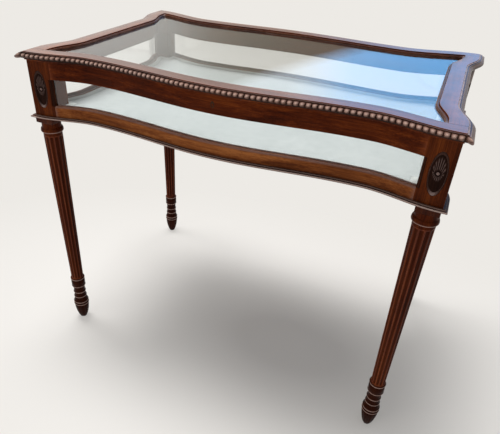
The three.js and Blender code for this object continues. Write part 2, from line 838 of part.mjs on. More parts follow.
function beadedEdge(side) {
  const reach = lidHalfWidth - fitGap;
  const beadSection = (swell) => [
    [fitGap, edgeBottom],
    [edgeBackThickness, edgeBottom],
    [edgeBackThickness + beadOut * beadNoseShare * swell, beadMiddle - beadRadius * beadFlatShare * swell],
    [edgeBackThickness + beadOut * swell, beadMiddle],
    [edgeBackThickness + beadOut * beadNoseShare * swell, beadMiddle + beadRadius * beadFlatShare * swell],
    [edgeBackThickness, edgeTop],
    [fitGap, edgeTop],
  ];
  const placed = (profile, alongFor) => profile.map(([out, z]) => {
    const along = alongFor(out);
    return side.place(along, side.line(along) + out, z);
  });
  const count = Math.floor((reach * 2) / beadPitch);
  const rows = [];
  for (let bead = 0; bead < count; bead += 1) {
    const middle = (bead - (count - 1) / 2) * beadPitch;
    rows.push({ x: middle - beadPitch / 2, swell: beadWaistShare }, { x: middle, swell: 1 });
  }
  rows.push({ x: (count * beadPitch) / 2, swell: beadWaistShare });
  // The rail's own stations are added, so that the strip bends where the rail does
  const swellAt = (x) => {
    const next = rows.findIndex((row) => row.x > x);
    if (next <= 0) return beadWaistShare;
    const share = (x - rows[next - 1].x) / (rows[next].x - rows[next - 1].x);
    return between(rows[next - 1].swell, rows[next].swell, share);
  };
  const isFree = (station) => rows.every((row) => Math.abs(row.x - station) > weldDistance);
  const bends = stationsWithin(side, -reach, reach)
    .filter(isFree)
    .map((station) => ({ x: station, swell: swellAt(station) }));
  rows.push(...bends);
  rows.sort((a, b) => a.x - b.x);
  const waist = beadSection(beadWaistShare);
  const corner = beadSection(1);
  const sections = [
    placed(corner, (out) => -reach - out),
    ...rows.map((row) => placed(beadSection(row.swell), () => row.x)),
    placed(corner, (out) => reach + out),
  ];
  return loft(sections, waist);
}

piece('lid_beading_front', beadedEdge(sides.front), mahogany);

// Hinges: a leaf in each post, a leaf in the lid, and a headed pin through their knuckles

function boredKnuckles(plate, spans, neckZ) {
  const parts = spans.flatMap(([from, to]) => [
    bar(knuckleRadius, from, to, hingeAxisY, hingeAxisZ),
    block([from, to], [hingeAxisY - knuckleRadius / 2, hingeAxisY], neckZ),
  ]);
  const bore = bar(
    knuckleBoreRadius,
    -hingeLength / 2 - cutOverrun,
    hingeLength / 2 + cutOverrun,
    hingeAxisY,
    hingeAxisZ,
  );
  return cut(joined(plate, ...parts), bore);
}

function caseLeaf() {
  const reach = hingeLength / 2;
  const inner = middleKnuckleLength / 2 + fitGap;
  const plateHeights = [caseLeafTop - leafThickness, caseLeafTop];
  const plate = block([-reach, reach], [leafFront, caseFaceY - fitGap], plateHeights);
  const spans = [[-reach, -inner], [inner, reach]];
  const arms = spans.map(([from, to]) => block(
    [from, to],
    [caseFaceY - knuckleStandoff, hingeAxisY],
    [caseLeafTop - leafThickness, caseLeafTop - fitGap],
  ));
  return boredKnuckles(joined(plate, ...arms), spans, [hingeAxisZ + knuckleNeckFrom, caseLeafTop - fitGap]);
}

function lidLeaf() {
  const reach = hingeLength / 2;
  const plate = block([-reach, reach], [leafFront, hingeAxisY], [lidBottom, lidBottom + leafThickness]);
  const spans = [[-middleKnuckleLength / 2, middleKnuckleLength / 2]];
  return boredKnuckles(plate, spans, [hingeAxisZ + knuckleNeckFrom, lidBottom + leafThickness / 2]);
}

function hingePin() {
  const reach = hingeLength / 2 + fitGap;
  return joined(
    bar(hingePinRadius, -reach - pinHeadLength / 2, reach + pinHeadLength / 2, hingeAxisY, hingeAxisZ),
    bar(pinHeadRadius, -reach - pinHeadLength, -reach, hingeAxisY, hingeAxisZ),
    bar(pinHeadRadius, reach, reach + pinHeadLength, hingeAxisY, hingeAxisZ),
  );
}

for (const [corner, alongX] of [['left', -1], ['right', 1]]) {
  const hinge = new THREE.Group();
  hinge.position.x = alongX * hingeX;
  table.add(hinge);
  piece(`hinge_case_leaf_${corner}`, caseLeaf(), brass, hinge);
  piece(`hinge_lid_leaf_${corner}`, lidLeaf(), brass, hinge);
  piece(`hinge_pin_${corner}`, hingePin(), brass, hinge);
}

// Lock: an open-topped case, a bolt that slides along X, and a plate in the lid with two hooks

const lockTop = caseTop - fitGap;
const pocketFloor = lockTop - lockPocketHeight;
const boltBottom = pocketFloor + fitGap;
const noseBottom = boltBottom + boltBarHeight + fitGap;
const noseTop = noseBottom + hookNoseHeight;
const tongueBottom = noseTop + fitGap;

piece(
  'lock_case',
  cut(
    block(
      [-lockWidth / 2, lockWidth / 2],
      [-(lockMiddle + lockDepth / 2), -(lockMiddle - lockDepth / 2)],
      [lockTop - lockHeight, lockTop],
    ),
    block(
      [-lockPocketWidth / 2, lockPocketWidth / 2],
      [-(lockMiddle + lockPocketDepth / 2), -(lockMiddle - lockPocketDepth / 2)],
      [pocketFloor, lockTop + cutOverrun],
    ),
  ),
  brass,
);

const hookPlaces = [-hookAt, hookAt];

function boltGeometry() {
  const depth = lockPocketDepth - fitGap * 2;
  const across = [-(lockMiddle + depth / 2), -(lockMiddle - depth / 2)];
  const tipFor = (hook) => hook - hookShank / 2 - hookNose - fitGap;
  const start = tipFor(hookPlaces[0]) - tongueLength;
  const parts = [block([start, tipFor(hookPlaces[1])], across, [boltBottom, boltBottom + boltBarHeight])];
  for (const hook of hookPlaces) {
    const back = tipFor(hook) - tongueLength;
    parts.push(block(
      [back, back + tongueLength - boltTravel],
      across,
      [boltBottom + boltBarHeight / 2, tongueBottom + tongueHeight],
    ));
    parts.push(block([back, tipFor(hook)], across, [tongueBottom, tongueBottom + tongueHeight]));
  }
  return joined(...parts);
}

piece('lock_bolt', boltGeometry(), brass);

function linkPlate() {
  const across = [-(lockMiddle + hookThickness / 2), -(lockMiddle - hookThickness / 2)];
  const plate = block(
    [-linkPlateWidth / 2, linkPlateWidth / 2],
    [-(lockMiddle + linkPlateDepth / 2), -(lockMiddle - linkPlateDepth / 2)],
    [lidBottom, lidBottom + leafThickness],
  );
  const hooks = hookPlaces.flatMap((hook) => [
    block([hook - hookShank / 2, hook + hookShank / 2], across, [noseBottom, lidBottom + leafThickness / 2]),
    block([hook - hookShank / 2 - hookNose, hook], across, [noseBottom, noseTop]),
  ]);
  return joined(plate, ...hooks);
}

piece('lock_link_plate', linkPlate(), brass);

function escutcheon() {
  const rim = ovalCylinder(escutcheonHalfWidth, escutcheonHalfHeight, escutcheonDepth);
  const eye = new THREE.CylinderGeometry(keyholeRadius, keyholeRadius, escutcheonDepth * 2, roundSides);
  const slot = block(
    [-keySlotWidth / 2, keySlotWidth / 2],
    [-escutcheonDepth, escutcheonDepth],
    [-keySlotDrop, 0],
  );
  return cut(rim, joined(eye, slot));
}

const keyPlate = piece('keyhole_escutcheon', escutcheon(), brass);
keyPlate.position.set(0, -(sides.front.line(0) - caseSetbackLong - escutcheonDepth / 2), keyholeMiddle);

export default table;
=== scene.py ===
"""Collectors display table: polished mahogany, curved glass and a padded lining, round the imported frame."""
import math
from collections import namedtuple

import bmesh
import bpy
import numpy as np
from mathutils import Matrix, Vector, noise
from mathutils.geometry import delaunay_2d_cdt


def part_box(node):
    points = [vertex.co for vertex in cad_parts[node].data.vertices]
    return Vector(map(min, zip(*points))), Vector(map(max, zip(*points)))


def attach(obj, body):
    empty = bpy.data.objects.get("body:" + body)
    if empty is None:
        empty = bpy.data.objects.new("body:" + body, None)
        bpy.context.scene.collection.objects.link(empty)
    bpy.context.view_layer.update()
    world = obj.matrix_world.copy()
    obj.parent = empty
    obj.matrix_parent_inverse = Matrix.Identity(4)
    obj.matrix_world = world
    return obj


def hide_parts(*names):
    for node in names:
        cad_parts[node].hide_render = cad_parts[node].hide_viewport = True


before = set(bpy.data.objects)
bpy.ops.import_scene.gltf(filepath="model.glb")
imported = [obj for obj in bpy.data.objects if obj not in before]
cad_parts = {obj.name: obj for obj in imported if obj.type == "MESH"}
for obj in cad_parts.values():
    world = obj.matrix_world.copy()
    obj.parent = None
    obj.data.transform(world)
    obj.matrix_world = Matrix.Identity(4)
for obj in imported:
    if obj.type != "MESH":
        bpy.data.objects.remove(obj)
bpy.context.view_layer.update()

# Sizes read from the frame, in metres
LID_LOW, LID_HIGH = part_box("lid_rail_front")
POST_LOW, POST_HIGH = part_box("corner_post_front_right")
LEG_LOW, LEG_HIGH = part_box("leg_front_right")
GLASS_LOW, GLASS_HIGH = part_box("lid_glass")
PAD_LOW, PAD_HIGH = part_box("lining_pad")
HALF_WIDTH = LID_HIGH.x
HALF_DEPTH = -LID_LOW.y
LID_BOTTOM = LID_LOW.z
TABLE_TOP = LID_HIGH.z
CASE_TOP = POST_HIGH.z
CASE_BOTTOM = POST_LOW.z
WINDOW_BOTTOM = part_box("lower_rail_front")[1].z
WINDOW_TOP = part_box("upper_rail_front")[0].z

# Plan of the lid's flat top: how far each edge draws in behind its ears
FRONT_MIDDLE_IN = 0.001
FRONT_HOLLOW_IN = 0.026
FRONT_HOLLOW_AT = HALF_WIDTH - 0.150
REAR_MIDDLE_IN = 0.023
REAR_HOLLOW_IN = 0.038
REAR_HOLLOW_AT = HALF_WIDTH - 0.175
LONG_EAR_AT = HALF_WIDTH - 0.005
SIDE_HOLLOW_IN = 0.023
SIDE_STRAIGHT_TO = HALF_DEPTH - 0.140
SIDE_EAR_AT = HALF_DEPTH - 0.046

# Case
FIT_GAP = 0.0003
SETBACK_LONG = 0.004
SETBACK_SHORT = 0.0015
POST_WIDTH = 0.0525
POST_ROUND = 0.0046
QUIRK_WIDTH = 0.0010
QUIRK_DEPTH = 0.0018
POST_ARRIS = 0.0008
POST_STOP = 0.001
RAIL_THICKNESS = 0.020
PANE_SETBACK = 0.008
PANE_THICKNESS = 0.003
PANE_TOP_GROOVE = 0.006
REBATE_DEPTH = 0.005
CASE_BEAD_WIDTH = 0.0062
CASE_BEAD_HEIGHT = 0.0065
BOARD_LIP = 0.012
BOARD_TOP = CASE_BOTTOM + 0.0075
BASE_REED_OUT = 0.0088
BASE_REED_HEIGHT = 0.0036
UPPER_REED_OUT = 0.0050
UPPER_REED_HEIGHT = 0.0024
SHOULDER_ROUND = 0.0045

# Lid
LID_RAIL_WIDTH = 0.030
LID_SIDE_RAIL_WIDTH = 0.0315
GLASS_GAP = 0.001
FILLET_WIDTH = 0.006
FILLET_HEIGHT = 0.0042
UNDER_BEAD_WIDTH = 0.007
UNDER_BEAD_HEIGHT = 0.0056
EDGE_TOP = TABLE_TOP - 0.0012
EDGE_BOTTOM = EDGE_TOP - 0.0128
BEAD_PITCH = 0.0111
BEAD_BACK = 0.0032
BEAD_OUT = 0.0075
BEAD_RADIUS = 0.0043
BEAD_MIDDLE = TABLE_TOP - 0.0076
BEAD_ROWS = 12
# The string between two beads, and which corners of the section lie on a bead's nose
STRING_OUT = 0.0016
STRING_HALF = 0.0026
BEAD_NOSE = range(3, 16)

# Legs
LEG_X = (LEG_LOW.x + LEG_HIGH.x) / 2
LEG_Y = -(LEG_LOW.y + LEG_HIGH.y) / 2
FLUTES = 12
SHAFT_BOTTOM = 0.146
SHAFT_TOP = CASE_BOTTOM - 0.0425
SHAFT_BOTTOM_RADIUS = 0.0157
SHAFT_TOP_RADIUS = 0.0214
SQUARE_BOTTOM = CASE_BOTTOM - 0.012
SQUARE_HALF_WIDTH = 0.022
FLUTE_DEPTH = 0.0020
FLUTE_MARGIN = 0.002
FLUTE_SHARE = 0.40
FLUTE_SEGMENTS = 10
FLUTE_PITCH = math.tau / FLUTES
FLUTE_HALF = SHAFT_BOTTOM_RADIUS * FLUTE_PITCH * FLUTE_SHARE
# Between these heights a flute is at its full width
FLUTE_LOW = SHAFT_BOTTOM + FLUTE_MARGIN + FLUTE_HALF
FLUTE_HIGH = SHAFT_TOP - FLUTE_MARGIN - FLUTE_HALF
BULB_TOP = 0.0495
LOBE_TIP = 0.012
LOBE_END = 0.006
REED_DEPTH = 0.0011

# Carved ovals
OVAL_HALF_WIDTH = 0.0155
OVAL_HALF_HEIGHT = 0.041
OVAL_MIDDLE = CASE_TOP - 0.063
OVAL_BOSS_RISE = 0.001
OVAL_ROUND_REACH = 0.023
OVAL_FROM_WINDOW = 0.0285
OVAL_SINK = 0.0024
OVAL_PROUD = 0.0009
OVAL_PETALS = 16
PETAL_SEGMENTS = 12
# Where the oval's boss, the groove round it and the plain field end, on the way from its middle to its rim
BOSS_END = 0.13
GROOVE_END = 0.20
RIM_START = 0.86
CUTTER_OUT = 0.01

# Lining
ROLL_WIDTH = 0.013
ROLL_HEIGHT = 0.003
PAD_GAP = 0.0005
SEAM_DEPTH = 0.0012
RISE_WIDTH = 0.020
DRIFT_SCALE = 9
DRIFT_HEIGHT = 0.0005
LINING_GRID = 0.008
LINING_RINGS = (
    0.0, 0.0007, 0.002, 0.004, 0.0065, 0.009, 0.011, 0.0122, 0.0129, 0.0134, 0.0145, 0.017, 0.021, 0.027,
    0.034,
)

CASE_FACE_X = HALF_WIDTH - SETBACK_SHORT
CASE_FACE_Y = HALF_DEPTH - SETBACK_LONG
POST_INNER_X = CASE_FACE_X - POST_WIDTH
POST_INNER_Y = CASE_FACE_Y - POST_WIDTH
REBATE_FLOOR = WINDOW_BOTTOM - REBATE_DEPTH
PLAN_STEP = 0.006
SHARP_ANGLE = 38


# Plan curves

def ease(share):
    """A soft step from 0 to 1 as the share goes from 0 to 1."""
    return (1 - math.cos(math.pi * min(1.0, max(0.0, share)))) / 2


def between(first, second, share):
    return first + (second - first) * share


def edge_line(half, middle_in, hollow_in, hollow_at, ear_at):
    """How far out an edge of the lid lies along its run: it draws in behind its ears."""
    def line(along):
        at = abs(along)
        if at >= hollow_at:
            return half - hollow_in * ease((ear_at - at) / (ear_at - hollow_at))
        return half - between(middle_in, hollow_in, ease(at / hollow_at))
    return line


front_line = edge_line(HALF_DEPTH, FRONT_MIDDLE_IN, FRONT_HOLLOW_IN, FRONT_HOLLOW_AT, LONG_EAR_AT)
rear_line = edge_line(HALF_DEPTH, REAR_MIDDLE_IN, REAR_HOLLOW_IN, REAR_HOLLOW_AT, LONG_EAR_AT)
side_line = edge_line(HALF_WIDTH, SIDE_HOLLOW_IN, SIDE_HOLLOW_IN, SIDE_STRAIGHT_TO, SIDE_EAR_AT)


Side = namedtuple("Side", "name line setback rail_width is_long place")
LONG = SETBACK_LONG, LID_RAIL_WIDTH, True
SHORT = SETBACK_SHORT, LID_SIDE_RAIL_WIDTH, False
SIDES = {side.name: side for side in (
    Side("front", front_line, *LONG, lambda along, away: (along, -away)),
    Side("rear", rear_line, *LONG, lambda along, away: (along, away)),
    Side("left", side_line, *SHORT, lambda along, away: (-away, along)),
    Side("right", side_line, *SHORT, lambda along, away: (away, along)),
)}


def opening_corner(side):
    """Where the inner edges of a long and a short lid rail cross, as (x, away)."""
    x = HALF_WIDTH - LID_SIDE_RAIL_WIDTH
    for _ in range(6):
        away = side.line(x) - LID_RAIL_WIDTH
        x = side_line(away) - LID_SIDE_RAIL_WIDTH
    return x, away


OPENING = {name: opening_corner(SIDES[name]) for name in ("front", "rear")}


# Outlines

def softened(outline, reach, steps=3):
    """The outline with every corner turned into a short curve that starts reach before it."""
    soft = []
    points = [np.array(point, float) for point in outline]
    for index, corner in enumerate(points):
        sides = [points[index - 1] - corner, points[(index + 1) % len(points)] - corner]
        starts = []
        for edge in sides:
            length = np.linalg.norm(edge)
            starts.append(corner + edge / length * min(reach, length * 0.45))
        for step in range(steps + 1):
            t = step / steps
            soft.append((1 - t) ** 2 * starts[0] + 2 * t * (1 - t) * corner + t ** 2 * starts[1])
    return [tuple(point) for point in soft]


def arc(centre, radius, start, end, steps, rise=None):
    """Points on a circle from one angle to another, in degrees, or on an oval that has its own rise."""
    angles = np.radians(np.linspace(start, end, steps + 1))
    high = rise or radius
    return [(centre[0] + radius * math.cos(a), centre[1] + high * math.sin(a)) for a in angles]


def turns_of(count):
    return [math.tau * index / count for index in range(count)]


def steps_between(start, end, step=PLAN_STEP):
    return np.linspace(start, end, max(2, int(round(abs(end - start) / step)) + 1))


def run_along(side, start, end, inset, step=PLAN_STEP):
    """Points along one side, at an inset from the lid's outer edge."""
    return [side.place(along, side.line(along) - inset) for along in steps_between(start, end, step)]


# Meshes

def finish_mesh(mesh, sharp_angle=SHARP_ANGLE):
    work = bmesh.new()
    work.from_mesh(mesh)
    bmesh.ops.recalc_face_normals(work, faces=work.faces)
    work.to_mesh(mesh)
    work.free()
    mesh.shade_smooth()
    mesh.set_sharp_from_angle(angle=math.radians(sharp_angle))


def link(name, data):
    thing = bpy.data.objects.new(name, data)
    bpy.context.scene.collection.objects.link(thing)
    return thing


def raw_piece(name, points, faces):
    mesh = bpy.data.meshes.new(name)
    mesh.from_pydata([tuple(point) for point in points], [], faces)
    return link(name, mesh)


def make(name, stands_for, points, faces, body, material, sharp_angle=SHARP_ANGLE):
    """A finished piece that rides on a body, takes a material and stands for one CAD node."""
    thing = raw_piece(name, points, faces)
    finish_mesh(thing.data, sharp_angle)
    thing.data.materials.append(material)
    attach(thing, body)
    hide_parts(stands_for)
    return thing


def loft_faces(rows, corners):
    """Quads between rows of a closed outline, then a cap on the first row and one on the last."""
    faces = []
    for a in range(0, (rows - 1) * corners, corners):
        b = a + corners
        for corner in range(corners):
            after = (corner + 1) % corners
            faces.append((a + corner, a + after, b + after, b + corner))
    faces.append(tuple(range(corners - 1, -1, -1)))
    faces.append(tuple(range((rows - 1) * corners, rows * corners)))
    return faces


def strip(label, node, side, profile, start, end, body, material, mitre=False, shift=0.0, rub=()):
    """A profile of (out, height) swept along one side, with a painted highlight given for each of its
    corners.
    """
    stations = steps_between(start, end)
    last = len(stations) - 1
    points = []
    for index, station in enumerate(stations):
        # A mitred end runs on by as much as each corner stands out
        edge = -1 if index == 0 else 1 if index == last else 0
        for out, height in profile:
            along = station + (edge * (out + shift) if mitre else 0)
            points.append((*side.place(along, side.line(along) + shift + out), height))
    faces = loft_faces(len(stations), len(profile))
    thing = make(f"{label}_{side.name}", f"{node}_{side.name}", points, faces, body, material)
    if rub:
        store(thing, rubbed=list(rub) * len(stations))
    return thing


def slab(name, stands_for, plan, bottom, top, material, edge):
    """A plan raised to a plate of the lid, with its sharp edges eased."""
    points = [(x, y, z) for z in (bottom, top) for x, y in plan]
    thing = make(name, stands_for, points, loft_faces(2, len(plan)), "lid", material)
    ease_edges(thing, edge, segments=3)
    settle(thing)
    flatten(thing)
    return thing


def ease_edges(thing, width, segments):
    bevel = thing.modifiers.new("eased_edges", "BEVEL")
    bevel.width = width
    bevel.segments = segments
    bevel.limit_method = "ANGLE"
    bevel.angle_limit = math.radians(40)


def flatten(thing):
    """Keeps flat faces flat beside their softened edges."""
    thing.modifiers.new("flat_faces", "WEIGHTED_NORMAL").keep_sharp = True


def settle(thing):
    """Applies the modifiers of a piece and shades it again."""
    bpy.context.view_layer.update()
    shown = thing.evaluated_get(bpy.context.evaluated_depsgraph_get())
    mesh = bpy.data.meshes.new_from_object(shown)
    thing.modifiers.clear()
    thing.data = mesh
    finish_mesh(mesh)


def carve(thing, cutter):
    """Cuts one mesh out of another and removes the cutter."""
    cut = thing.modifiers.new("carve", "BOOLEAN")
    cut.object = cutter
    cut.solver = "EXACT"
    settle(thing)
    bpy.data.objects.remove(cutter)


def store(thing, **masks):
    for name, values in masks.items():
        attribute = thing.data.attributes.new(name, "FLOAT", "POINT")
        attribute.data.foreach_set("value", np.asarray(values, np.float32))


def reface(thing, material, chosen):
    """Gives the chosen faces of a piece a second material."""
    thing.data.materials.append(material)
    for face in thing.data.polygons:
        if chosen(face):
            face.material_index = 1


# Shader nodes and groups

def give(socket, value):
    """Feeds a socket: a node's output is linked to it, a number, vector or colour is set on it."""
    if isinstance(value, bpy.types.NodeSocket):
        socket.id_data.links.new(value, socket)
    elif isinstance(value, tuple) and socket.type == "RGBA":
        socket.default_value = (*value, 1.0)
    else:
        socket.default_value = value


def feed(node, **inputs):
    for label, value in inputs.items():
        give(node.inputs[label.replace("_", " ")], value)
    return node


def tree_of(*values):
    return next(value.id_data for value in values if isinstance(value, bpy.types.NodeSocket))


def new_group(name, numbers, results):
    """An empty shader group with a vector and some numbers as inputs, all sockets by name."""
    group = bpy.data.node_groups.new(name, "ShaderNodeTree")
    group.interface.new_socket("Vector", in_out="INPUT", socket_type="NodeSocketVector")
    for label, value in numbers.items():
        socket = group.interface.new_socket(label, in_out="INPUT", socket_type="NodeSocketFloat")
        socket.default_value = value
    for label in results:
        group.interface.new_socket(label, in_out="OUTPUT", socket_type="NodeSocketFloat")
    return group, group.nodes.new("NodeGroupInput").outputs, group.nodes.new("NodeGroupOutput")


def add(tree, kind, settings=None, **inputs):
    node = tree.nodes.new("ShaderNode" + kind)
    for label, value in (settings or {}).items():
        setattr(node, label, value)
    return feed(node, **inputs)


def calc(operation, *values, clamp=False):
    """One step of arithmetic between node outputs and numbers."""
    node = add(tree_of(*values), "Math", {"operation": operation, "use_clamp": clamp})
    for socket, value in zip(node.inputs, values):
        give(socket, value)
    return node.outputs[0]


def times(first, second, clamp=False):
    return calc("MULTIPLY", first, second, clamp=clamp)


def spread(value, low, high, to_low=0.0, to_high=1.0):
    """Where a value lies between low and high, from to_low to to_high."""
    ends = {"From_Min": low, "From_Max": high, "To_Min": to_low, "To_Max": to_high}
    return add(value.id_data, "MapRange", Value=value, **ends).outputs["Result"]


def cloudy(vector, scale, detail=2.0, roughness=0.5, distortion=0.0):
    node = add(vector.id_data, "TexNoise", Vector=vector, Scale=scale, Detail=detail, Roughness=roughness)
    return feed(node, Distortion=distortion).outputs["Fac"]


def stretched(vector, scale, shift=(0, 0, 0)):
    return add(vector.id_data, "Mapping", Vector=vector, Scale=scale, Location=shift).outputs["Vector"]


def mixed(factor, first, second, blend="MIX"):
    node = add(tree_of(factor, first, second), "Mix", {"data_type": "RGBA", "blend_type": blend})
    for place, value in ((0, factor), (6, first), (7, second)):
        give(node.inputs[place], value)
    return node.outputs[2]


def tone_ramp(share, tones, blend="LINEAR"):
    """Colours along a share, as (place, tone), where no place may be 0 or 1."""
    node = add(share.id_data, "ValToRGB", Fac=share)
    node.color_ramp.interpolation = blend
    stops = node.color_ramp.elements
    for place, tone in tones:
        stops.new(place).color = (*tone, 1)
    stops.remove(stops[0])
    stops.remove(stops[len(stops) - 1])
    return node.outputs["Color"]


def stored(tree, name):
    return add(tree, "Attribute", {"attribute_name": name}).outputs["Fac"]


def ribbon_grain_group():
    """Mahogany's figure along the first axis: broad ribbons, fine streaks and short open pores."""
    group, given, result = new_group("ribbon_grain", {"Ribbon": 0.5}, ("Figure", "Pores"))

    def layer(scale, shift, detail, roughness, distortion=0.0):
        return cloudy(stretched(given["Vector"], scale, shift), 1.0, detail, roughness, distortion)

    coarse = spread(layer((2.2, 26, 26), (0, 0, 0), 3.0, 0.55, 0.6), 0.3, 0.7)
    middle = spread(layer((5, 120, 120), (3, 1, 2), 4.0, 0.6, 0.3), 0.3, 0.7)
    fine = spread(layer((14, 620, 620), (7, 5, 1), 3.0, 0.65), 0.32, 0.68)
    pores = spread(layer((120, 1500, 1500), (2, 9, 4), 1.0, 0.5), 0.60, 0.72)
    broad_share = calc("SUBTRACT", 1.0, given["Ribbon"])
    ribbons = calc("ADD", times(middle, given["Ribbon"]), times(coarse, broad_share))
    feed(result, Figure=calc("ADD", times(ribbons, 0.72), times(fine, 0.28)), Pores=pores)
    return group


def rubbed_edges_group():
    """Masks for raised edges made pale, as wear and painted highlight, and for hollows made dark, as grime
    and painted shade.
    """
    group, given, result = new_group("rubbed_edges", {"Edge": 0.5, "Hollow": 0.5}, ("Rubbed", "Waxed"))
    bend = add(group, "NewGeometry").outputs["Pointiness"]
    patchy = spread(cloudy(given["Vector"], 70.0, 3.0), 0.35, 0.65, 0.45, 1.0)
    # Raised bends: pale as wear and painted highlight
    raised = times(spread(bend, 0.515, 0.58), patchy)
    # Sunk bends: dark as grime and painted shade
    sunk = spread(bend, 0.49, 0.42)
    feed(result, Rubbed=times(raised, given["Edge"], True), Waxed=times(sunk, given["Hollow"], True))
    return group


def woven_cloth_group():
    """A plain weave: the height of its threads, a fine mottling and a broad shade of the dye."""
    group, given, result = new_group("woven_cloth", {"Threads": 900.0}, ("Height", "Mottle", "Shade"))
    vector = given["Vector"]
    parts = add(group, "SeparateXYZ", Vector=vector).outputs
    waves = [calc("SINE", times(times(parts[axis], given["Threads"]), math.tau)) for axis in "XY"]
    weave = spread(times(*waves), -1.0, 1.0)
    slub = cloudy(stretched(vector, (60, 420, 60)), 1.0, 2.0)
    mottle = spread(cloudy(vector, 55.0, 5.0, 0.65), 0.3, 0.7)
    shade = spread(cloudy(vector, 9.0, 3.0, 0.5), 0.3, 0.7)
    feed(result, Height=calc("ADD", times(weave, 0.7), times(slub, 0.3)), Mottle=mottle, Shade=shade)
    return group


RIBBON_GRAIN = ribbon_grain_group()
EDGE_SHEEN_AND_HOLLOW_SHADE = rubbed_edges_group()
WOVEN_CLOTH = woven_cloth_group()


def place_group(group, vector, **values):
    return add(vector.id_data, "Group", {"node_tree": group}, Vector=vector, **values).outputs


def new_material(name):
    """A material, its tree, its shader and the place of each point in the frame."""
    material = bpy.data.materials.new(name)
    material.use_nodes = True
    tree = material.node_tree
    return material, tree, tree.nodes["Principled BSDF"], add(tree, "TexCoord").outputs["Object"]


def bumped(shader, height, strength, distance):
    bump = add(shader.id_data, "Bump", Height=height, Strength=strength, Distance=distance)
    feed(shader, Normal=bump.outputs["Normal"])


def mix_surfaces(share, first, second, end="Material Output"):
    """Shows the second shader instead of the first by a share."""
    tree = share.id_data
    mix = add(tree, "MixShader", Fac=share)
    give(mix.inputs[1], first.outputs[0])
    give(mix.inputs[2], second.outputs[0])
    feed(tree.nodes[end], Surface=mix.outputs["Shader"])


def seen_rays(tree):
    """The kinds of ray, and a mask of those by which the camera, polish and glass see."""
    path = add(tree, "LightPath").outputs
    seen = calc("MAXIMUM", path["Is Camera Ray"], path["Is Glossy Ray"])
    return path, calc("MAXIMUM", seen, path["Is Transmission Ray"])


GRAIN_TURNS = {"x": (0, 0, 0), "y": (0, 0, math.radians(-90)), "z": (0, math.radians(90), 0)}


def mahogany(name, grain, tones, roughness=0.26, rubbed=0.4, carved=False, worn=None, polish=0.03,
             edge=None):
    """Polished mahogany with its grain along one axis of the frame and its tones from dark to light."""
    dark, middle, light = tones
    pale = worn or tuple(min(1.0, value * 1.7 + 0.02) for value in light)
    deep = tuple(value * 0.3 for value in dark)
    material, tree, shader, coords = new_material(name)
    along = add(tree, "Mapping", Vector=coords, Rotation=GRAIN_TURNS[grain]).outputs["Vector"]
    figure = place_group(RIBBON_GRAIN, along, Ribbon=0.5)
    edges = place_group(EDGE_SHEEN_AND_HOLLOW_SHADE, coords, Edge=rubbed if edge is None else edge, Hollow=0.8)
    tone = tone_ramp(figure["Figure"], ((0.22, dark), (0.5, middle), (0.78, light)))
    # Raised edges paled, as wear and painted highlight
    tone = mixed(edges["Rubbed"], tone, pale)
    hollows = edges["Waxed"]
    # Pieces with stored marks add painted shade and painted highlight from them
    if carved:
        hollows = calc("MAXIMUM", hollows, times(stored(tree, "hollow"), 0.85))
        tone = mixed(times(stored(tree, "rubbed"), rubbed), tone, pale)
    # Hollows darkened, as grime and painted shade
    tone = mixed(hollows, tone, deep)
    tone = mixed(times(figure["Pores"], 0.5), tone, deep)
    smears = cloudy(stretched(coords, (18, 18, 18)), 1.0, 4.0, 0.6)
    gloss = spread(smears, 0.3, 0.7, roughness - 0.05, roughness + 0.09)
    feed(shader, Base_Color=tone, Roughness=gloss, IOR=1.5, Specular_IOR_Level=polish)
    feed(shader, Coat_Weight=polish * 0.3, Coat_Roughness=0.12)
    bumped(shader, calc("SUBTRACT", times(smears, 0.6), figure["Pores"]), 0.25, 0.0002)
    return material


def clear_glass(name, tint):
    """Clear, faintly rippled plate that lets lamps and soft light through to what lies behind it."""
    material, tree, shader, coords = new_material(name)
    feed(shader, Base_Color=tint, Roughness=0.0, IOR=1.5, Transmission_Weight=1.0)
    bumped(shader, cloudy(coords, 6.0, 2.0), 0.04, 0.001)
    path = add(tree, "LightPath").outputs
    unseen = calc("MAXIMUM", path["Is Shadow Ray"], path["Is Diffuse Ray"])
    mix_surfaces(unseen, shader, add(tree, "BsdfTransparent", Color=tint))
    return material


def lining_cloth(name, pale, deep):
    """Pale woven cloth, darker in its seam with dust and painted shade."""
    material, tree, shader, coords = new_material(name)
    weave = place_group(WOVEN_CLOTH, coords, Threads=850.0)
    tone = mixed(times(weave["Shade"], 0.5), pale, deep)
    tone = mixed(times(weave["Mottle"], 0.55), tone, deep)
    tone = mixed(times(stored(tree, "hollow"), 0.6), tone, tuple(value * 0.6 for value in deep))
    feed(shader, Base_Color=tone, Roughness=spread(weave["Height"], 0.0, 1.0, 0.95, 0.8))
    feed(shader, Specular_IOR_Level=0.2, Sheen_Weight=0.35, Sheen_Roughness=0.5)
    bumped(shader, weave["Height"], 0.4, 0.0003)
    return material


def aged_brass(name, bright, dull):
    """Brass with cloudy tarnish, edges made brighter as wear and painted highlight, and corners darkened as
    grime and painted shade.
    """
    material, _, shader, coords = new_material(name)
    tarnish = spread(cloudy(coords, 260.0, 5.0, 0.65), 0.35, 0.7)
    edges = place_group(EDGE_SHEEN_AND_HOLLOW_SHADE, coords, Edge=0.8, Hollow=0.9)
    tone = mixed(tarnish, bright, dull)
    tone = mixed(edges["Rubbed"], tone, tuple(value * 1.4 for value in bright))
    # Corners darkened as grime and painted shade
    tone = mixed(edges["Waxed"], tone, BRASS_GRIME_AND_SHADE)
    feed(shader, Base_Color=tone, Metallic=1.0, Roughness=spread(tarnish, 0.0, 1.0, 0.25, 0.55))
    return material


